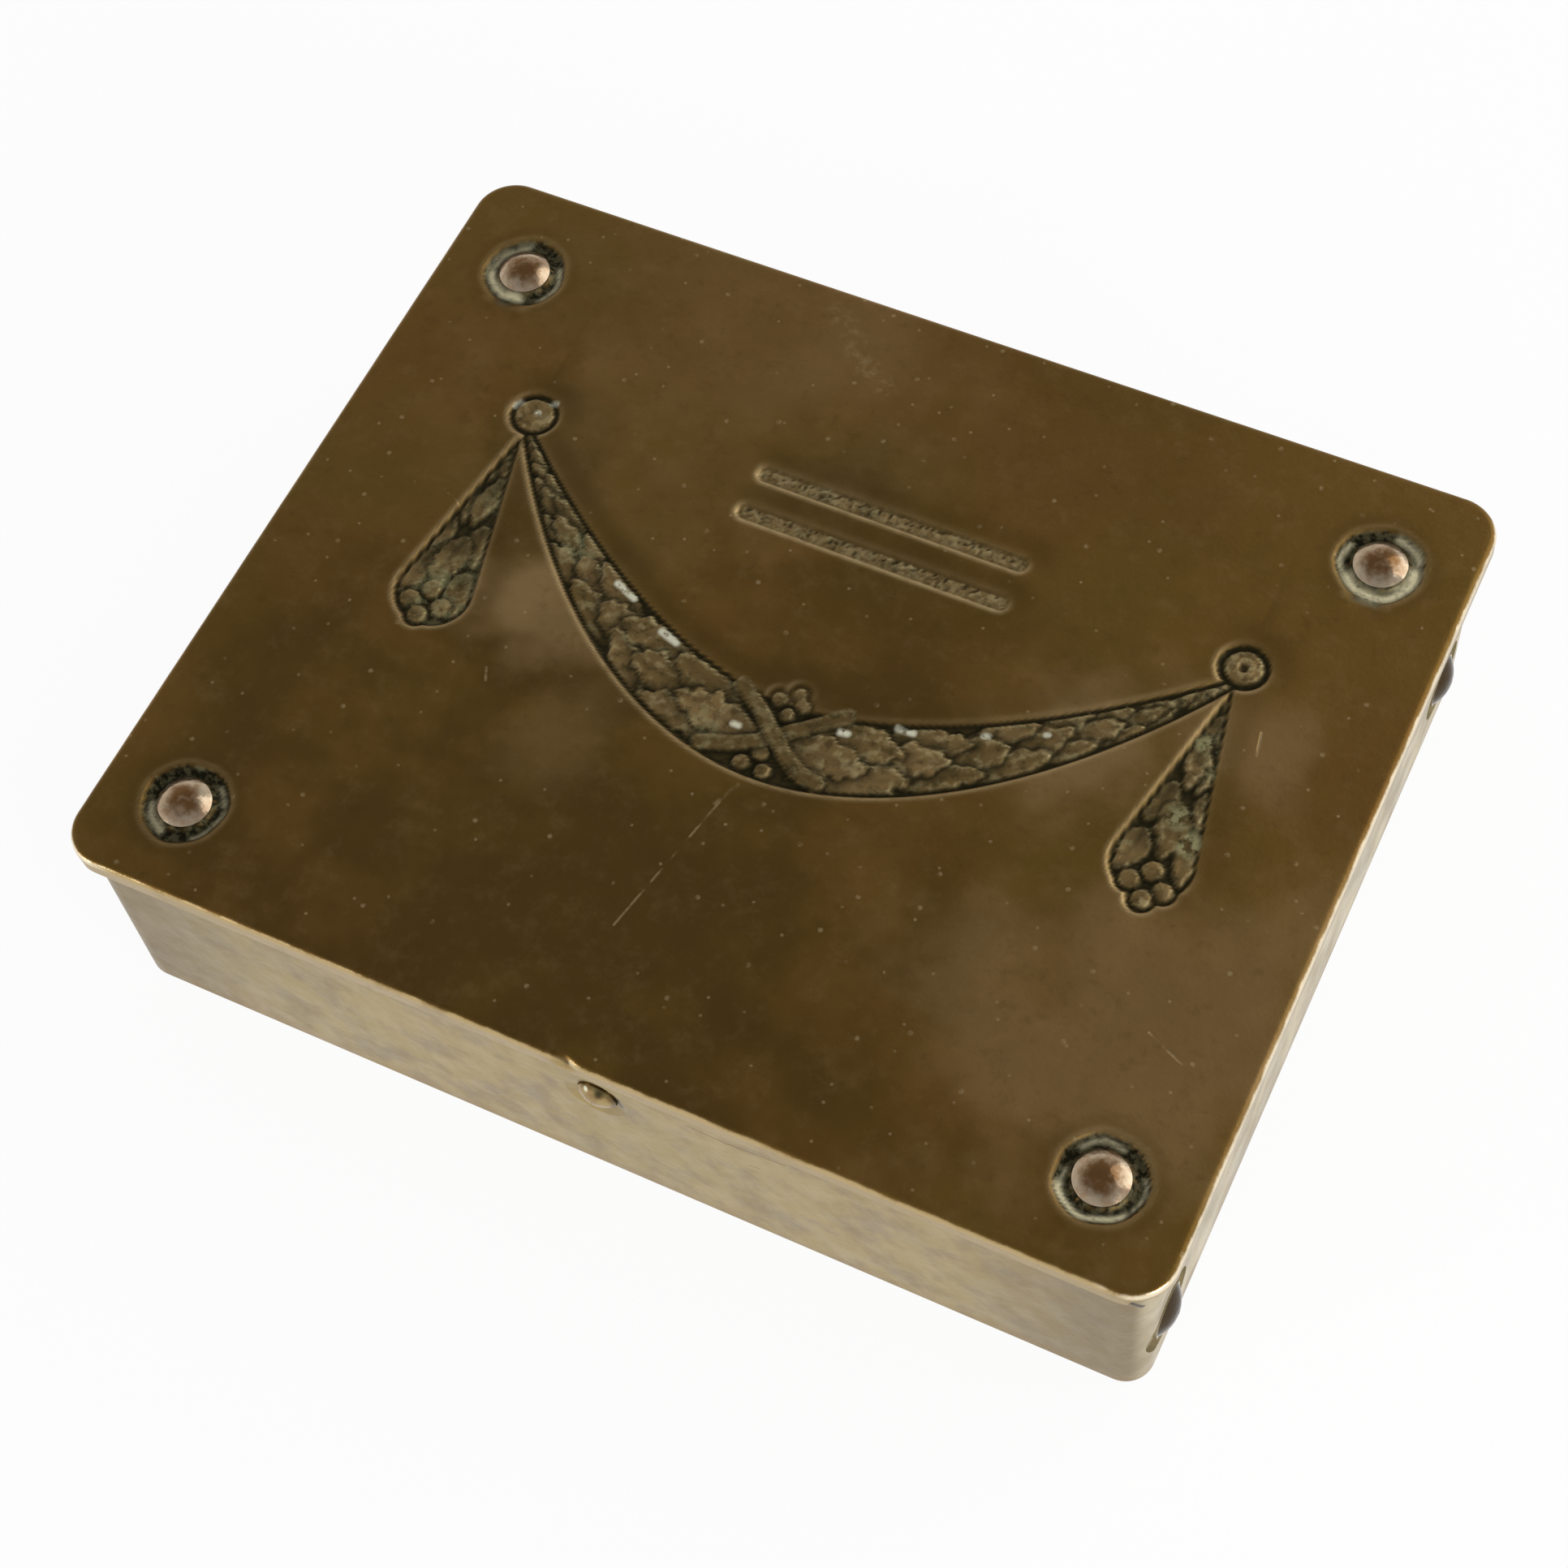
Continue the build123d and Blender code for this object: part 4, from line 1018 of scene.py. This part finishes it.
def ornament_colour(g, masks, colour, grain):
    """The festoon on the patina: dark grounds, brown leaves, pale rubbed ridges and edge lines with
    painted highlights, and painted shade beside edges, on and under leaves and in grooves.
    """
    # Breakup of the pale line outside edges, which is wear with a painted highlight
    rubbed = g.span(g.noise(1.1, 3, 0.6, 44), 0.25, 0.6, 0.5, 0.85)
    broken = g.span(g.noise(0.7, 3, 0.65, 72), 0.4, 0.6, 0.1, 0.95)
    leaf = g.coat(
        LEAF_BROWN,
        (masks["tone"], LEAF_RED),
        (g.span(g.noise(1.2, 4, 0.65, 35), 0.46, 0.66, 0, 0.65), GRIME_AND_SHADE),
        (g.span(g.noise(1.1, 2, 0.5, 48), 0.5, 0.72, 0, 0.5), RIDGE_KHAKI),
    )
    return g.coat(
        colour,
        (masks["dusk"], LID_DARK, 0.5),
        (g.times(masks["lip"], rubbed), LIP_KHAKI),
        (masks["recess"], g.mix(g.span(grain, 0.35, 0.7), GRIME_AND_SHADE, GREEN_BLACK), 0.95),
        (masks["leaf"], leaf, 0.95),
        (masks["shade"], GRIME_AND_SHADE, 0.7),
        (g.times(masks["ridge"], broken), RIDGE_KHAKI),
        (masks["groove"], GREEN_BLACK, 0.85),
    )


def ornament_crust(g, masks):
    """Where pale green crust sits in the ornament's grounds."""
    green = g.most([g.zone(*zone) for zone in VERDIGRIS_ZONES])
    patches = g.span(g.noise(0.9, 4, 0.65, 61), 0.42, 0.6)
    return g.times(g.times(green, patches), masks["recess"])


def glint(g, start, end, width, strength):
    """A ragged bright painted highlight, a glint on the ornament between two points of the lid."""
    ragged = g.span(g.noise(0.9, 4, 0.7, 18), 0.34, 0.5, 0.15, 1)
    return g.times(g.times(g.lid_mark(start, end, width, GLINT_DEPTH), ragged), strength)


def well_layers(g, masks, grain):
    """Dark ring wells with pale crumbs of residue."""
    ground = g.mix(g.span(grain, 0.42, 0.6), GREEN_BLACK, WELL_GREY)
    crumbs = g.span(g.noise(0.6, 4, 0.7, 92), 0.3, 0.5, 0.5, 1)
    return [(masks["well"], ground), (g.times(masks["residue"], crumbs), RESIDUE)]


def edge_layers(g, masks):
    """The lid's edge, with wear and painted highlights, brightest on the right and at the front
    left corner, and the knock in its front with painted shade in it and a painted highlight on its
    lip.
    """
    uneven = g.wander(2.8, -0.2, 0.2, roughness=0.65, shift=80)
    worn_lit_edge = g.span(g.plus(masks["edge"], uneven), 0.35, 1.0)
    # Painted highlights: the right edge and the front left corner in cream
    right = g.span(g.plus(g.x, g.times(uneven, 6)), LID_HALF_X - 5, LID_HALF_X - 2)
    corner = g.span(g.distance_to((-LID_HALF_X, -LID_HALF_Y, LID_TOP)), 6.0, 3.0)
    bright = g.mix(g.most([right, corner]), EDGE_GOLD, EDGE_HIGHLIGHT)
    # The rounded top of the edge in gold, wear with a painted highlight, over the plainer side
    tone = g.mix(g.span(g.z, LID_TOP - 0.9, LID_TOP - 0.45), RIM_SIDE, bright)
    return [
        (worn_lit_edge, tone),
        (g.scratch(*EDGE_KNOCK_SHADE), LID_DARK, 0.85),
        (g.scratch(*EDGE_LIP_HIGHLIGHT), EDGE_HIGHLIGHT, 0.3),
    ]


def lid_material():
    g = Graph("lid_patina")
    names = (*Relief.MASKS, "edge")
    masks = {name: g.node("Attribute", {}, attribute_name=name).outputs["Fac"] for name in names}
    grain = g.noise(0.7, 4, 0.6, 31)
    hairs = lid_hairs(g)
    crust = ornament_crust(g, masks)
    colour = g.mix(hairs, lid_ground(g), SPECK, 0.45)
    colour = g.coat(
        ornament_colour(g, masks, colour, grain),
        (crust, VERDIGRIS),
        (g.most([glint(g, *place) for place in GLINTS]), GLINT),
        *well_layers(g, masks, grain),
        *edge_layers(g, masks),
    )
    dirt = g.most([masks["recess"], masks["well"], masks["residue"]])
    polished = g.most([masks["ridge"], masks["edge"]])
    rough = g.plus(g.wander(5, 0.36, 0.46, shift=3), g.times(dirt, 0.12))
    rough = g.math("SUBTRACT", rough, g.times(polished, 0.12))
    metal = g.math("SUBTRACT", 0.9, g.times(g.most([masks["residue"], crust]), 0.6))
    height = g.plus(g.noise(0.5, 5, 0.65, 17), g.times(hairs, -1.2))
    height = g.plus(height, g.times(g.noise(9, 2, 0.5, 25), 2.0))
    g.bump(height, 0.03)
    return g.finish(colour, rough, metal)


def wall_ground(g):
    """The wall's blotched khaki, darker to the ends of the front, and pale on the right with a
    painted reflection.
    """
    half = WALL_HIGH[0]
    cloudy = g.span(g.noise(6, 5, 0.6, 52), 0.35, 0.65, 0.35, 0.9)
    low = g.plus(g.z, g.wander(4, -0.6, 0.6, 3, shift=12))
    return g.coat(
        KHAKI,
        (g.span(g.noise(11, 4, 0.55), 0.4, 0.62), KHAKI_GREEN),
        (g.span(g.noise(5, 5, 0.65, 33), 0.42, 0.68, 0, 0.85), KHAKI_GREY),
        (g.span(g.math("ABSOLUTE", g.x), 0.6 * half, 0.95 * half, 0, 0.8), WALL_END),
        # A painted reflection: the right face paler
        (g.times(g.span(g.x, half - 1.5, half - 0.3), cloudy), WALL_RIGHT_REFLECTION),
        (g.most([g.dots(1.9, 0.3, 4, 0.8), g.dots(1.1, 0.16, 14, 0.7)]), LID_LIGHT, 0.3),
        (g.span(low, 2.6, 0.4, 0, 0.5), LID_LIGHT),
    )


def painted_dish_shade(g):
    """Painted shadows in the button's dish, on the front wall only."""
    shadows = []
    for x, z, radius, strength in DISH_SHADOWS:
        distance = g.distance_to((BUTTON[0] + x, 0, BUTTON[2] + z), (1, 0, 1))
        shadows.append(g.span(distance, radius, 0.3 * radius, 0, strength))
    return g.times(g.most(shadows), g.math("LESS_THAN", g.y, 0.0))


def wall_material():
    g = Graph("wall_brass")
    lines = g.most([g.scratch(*mark) for mark in WALL_SCRATCHES])
    # Painted shadows in the button's dish
    dish_shade = painted_dish_shade(g)
    reach = WELL_OUTER + 0.5
    well = g.most([g.span(g.distance_to(place), reach, reach - 0.6) for place in SIDE_STUDS])
    green = g.times(well, g.span(g.noise(1.1, 3, 0.6, 70), 0.48, 0.66))
    colour = g.coat(
        wall_ground(g),
        (lines, LID_BROWN, 0.6),
        (dish_shade, GREEN_BLACK),
        # Painted shadow under the lid's open front corners
        *[(g.scratch(*mark), GREEN_BLACK, 0.9) for mark in CORNER_SHADOWS],
        (well, STUD_DARK, 0.25),
        (green, VERDIGRIS, 0.7),
    )
    metal = g.math("SUBTRACT", 0.9, g.times(g.most([well, dish_shade]), 0.5))
    height = g.plus(g.noise(0.6, 5, 0.6, 8), g.times(lines, -1.5))
    height = g.plus(height, g.times(g.noise(7, 3, 0.5, 29), 2.5))
    g.bump(height, 0.035)
    return g.finish(colour, g.wander(3, 0.3, 0.42, shift=3), metal)


def stud_material():
    """Studs with a pale rim round a brown, coppery crown: the rim is rubbed and carries a painted
    reflection.
    """
    g = Graph("stud_copper")
    from_axes = [g.distance_to(place, (1, 1, 0)) for place in LID_STUDS.values()]
    from_axes += [g.distance_to(place) for place in SIDE_STUDS]
    wander = g.wander(1.3, -0.35, 0.35, shift=9)
    patches = g.span(g.noise(1.4, 4, 0.6, distortion=0.5), 0.5, 0.7, 0, 0.7)
    # The pale rim is rubbed and carries a painted reflection
    rim = g.mix(g.span(g.noise(1.0, 4, 0.6, 21), 0.4, 0.65), STUD_RIM, STUD_PINK)
    sides = g.span(g.math("ABSOLUTE", g.x), WALL_HIGH[0] - 1.2, WALL_HIGH[0] - 0.6, 0, 0.95)
    colour = g.coat(
        g.mix(patches, STUD_CENTRE, STUD_PINK),
        (g.span(g.plus(g.least(from_axes), wander), 0.9, 2.1), rim),
        (g.dots(0.9, 0.12, 5, 0.8), LID_DARK, 0.5),
        (sides, STUD_DARK),
    )
    g.bump(g.noise(1.1, 3, 0.5, 12), 0.06)
    return g.finish(colour, g.wander(0.8, 0.15, 0.24, shift=3), 0.93)


def button_material():
    """A polished button with painted shade on its rim to the upper right, painted shade in a pit
    and a painted highlight spot.
    """
    g = Graph("button_brass")
    x, z = BUTTON[0], BUTTON[2]
    # Painted light: shade on the rim's upper right, shade in a pit, and a highlight spot
    rim = g.span(g.distance_to((x, 0, z), (1, 0, 1)), 1.3, 1.75)
    side = g.span(g.plus(g.z, g.times(g.x, 0.8)), z - 0.4, z + 0.8)
    pit = g.distance_to((x + 0.5, 0, z + 1.3), (1, 0, 1))
    spot = g.distance_to((x - 0.7, 0, z + 1.3), (1, 0, 1))
    colour = g.coat(
        KHAKI,
        (g.span(g.noise(1.2, 4, 0.6), 0.4, 0.62), LID_LIGHT),
        (g.times(rim, side), GREEN_BLACK, 0.6),
        (g.span(pit, 0.7, 0.1), GREEN_BLACK, 0.85),
        (g.span(spot, 0.3, 0.1, 0, 0.8), GLINT),
    )
    g.bump(g.noise(0.6, 4, 0.6, 2), 0.03)
    return g.finish(colour, g.wander(0.8, 0.16, 0.28), 0.92)


def inner_material():
    g = Graph("inner_brass")
    colour = g.coat(
        INNER,
        (g.span(g.noise(9, 5, 0.6), 0.38, 0.65), INNER_DARK),
        (g.span(g.noise(2.2, 5, 0.65, 14), 0.55, 0.72, 0, 0.5), LID_BROWN),
    )
    g.bump(g.noise(0.35, 3, 0.6, 6, stretch=(0.06, 1, 1)), 0.02)
    return g.finish(colour, g.wander(4, 0.34, 0.5, shift=3), 0.9)


def fitting_material():
    g = Graph("fitting_brass")
    colour = g.coat(
        FITTING,
        (g.span(g.noise(3, 5, 0.6), 0.36, 0.66), INNER_DARK),
        (g.span(g.noise(0.9, 4, 0.6, 19), 0.6, 0.72, 0, 0.6), GRIME_AND_SHADE),
    )
    g.bump(g.noise(0.4, 4, 0.6, 6), 0.02)
    return g.finish(colour, g.wander(2, 0.28, 0.42, shift=3), 0.92)


def spring_material():
    g = Graph("spring_steel")
    colour = g.mix(g.span(g.noise(0.9, 4, 0.6), 0.45, 0.7), STEEL, STEEL_BROWN)
    g.bump(g.noise(0.2, 3, 0.6), 0.01)
    return g.finish(colour, g.wander(0.5, 0.24, 0.36), 0.95)


def dress_nodes():
    """Gives every frame node the material of its slot. The lid's own node is replaced later."""
    by_slot = {
        "lid_brass": inner_material,
        "wall_brass": wall_material,
        "inner_brass": inner_material,
        "fitting_brass": fitting_material,
        "button_brass": button_material,
        "stud_copper": stud_material,
        "spring_steel": spring_material,
    }
    made = {}
    for part in frame["record"]["subparts"]:
        make = by_slot[part["material_slot"]]
        if make not in made:
            made[make] = make()
        thing = frame["nodes"][part["node"]]
        thing.data.materials.clear()
        thing.data.materials.append(made[make])


def make_floor():
    """A pale floor that runs to white and keeps the box's soft shadow."""
    half = FLOOR_HALF
    corners = [(-half, -half, 0), (half, -half, 0), (half, half, 0), (-half, half, 0)]
    floor = make_mesh("floor", corners, [(0, 1, 2, 3)], smooth=False)
    floor.location.z = cad_box[0].z - FLOOR_DROP * MM
    material = bpy.data.materials.new("floor_paper")
    material.use_nodes = True
    tree = material.node_tree
    tree.nodes.clear()
    rays = add_node(tree, "LightPath", {}).outputs
    either = {0: rays["Is Camera Ray"], 1: rays["Is Glossy Ray"]}
    seen = add_node(tree, "Math", either, operation="MAXIMUM").outputs[0]
    share = add_node(tree, "Math", {0: seen, 1: FLOOR_GLOW}, operation="MULTIPLY")
    paper = add_node(tree, "BsdfDiffuse", {"Color": FLOOR_COLOUR})
    white = add_node(tree, "Emission", {})
    blend = {0: share.outputs[0], 1: paper.outputs[0], 2: white.outputs[0]}
    mix = add_node(tree, "MixShader", blend)
    add_node(tree, "OutputMaterial", {"Surface": mix.outputs[0]})
    floor.data.materials.append(material)


def make_world():
    """Even studio surroundings: pale near the horizon, greyer overhead."""
    world = bpy.data.worlds.new("studio")
    bpy.context.scene.world = world
    world.use_nodes = True
    tree = world.node_tree
    coordinates = add_node(tree, "TexCoord", {})
    split = add_node(tree, "SeparateXYZ", {0: coordinates.outputs["Generated"]})
    ramp = add_node(tree, "ValToRGB", {0: split.outputs[2]})
    for stop, (place, colour) in zip(ramp.color_ramp.elements, WORLD_STOPS):
        stop.position = place
        stop.color = colour
    put(tree, ramp.outputs[0], tree.nodes["Background"].inputs["Color"])


def add_lamp(name, place, size, power):
    """A soft area lamp that points at the box."""
    lamp = bpy.data.lights.new(name, "AREA")
    lamp.size = size * MM
    lamp.energy = power
    thing = bpy.data.objects.new(name, lamp)
    thing.location = Vector(place) * MM
    thing.rotation_mode = "QUATERNION"
    thing.rotation_quaternion = (-thing.location).to_track_quat("-Z", "Y")
    bpy.context.scene.collection.objects.link(thing)


def make_camera():
    camera = bpy.data.cameras.new("camera")
    camera.sensor_width = CAMERA_SENSOR
    camera.lens = CAMERA_LENS
    camera.clip_start, camera.clip_end = CAMERA_CLIP
    thing = bpy.data.objects.new("camera", camera)
    forward = Vector(CAMERA_FORWARD).normalized()
    right = Vector(CAMERA_RIGHT)
    right = (right - forward * right.dot(forward)).normalized()
    up = right.cross(forward)
    turn = Matrix((right, up, -forward)).transposed()
    thing.matrix_world = Matrix.Translation(Vector(CAMERA_PLACE) * MM) @ turn.to_4x4()
    bpy.context.scene.collection.objects.link(thing)
    bpy.context.scene.camera = thing


dress_nodes()
make_lid().data.materials.append(lid_material())
make_floor()
make_world()
for lamp_name, lamp_settings in LAMPS.items():
    add_lamp(lamp_name, *lamp_settings)
make_camera()
bpy.context.scene.view_settings.view_transform = "Standard"
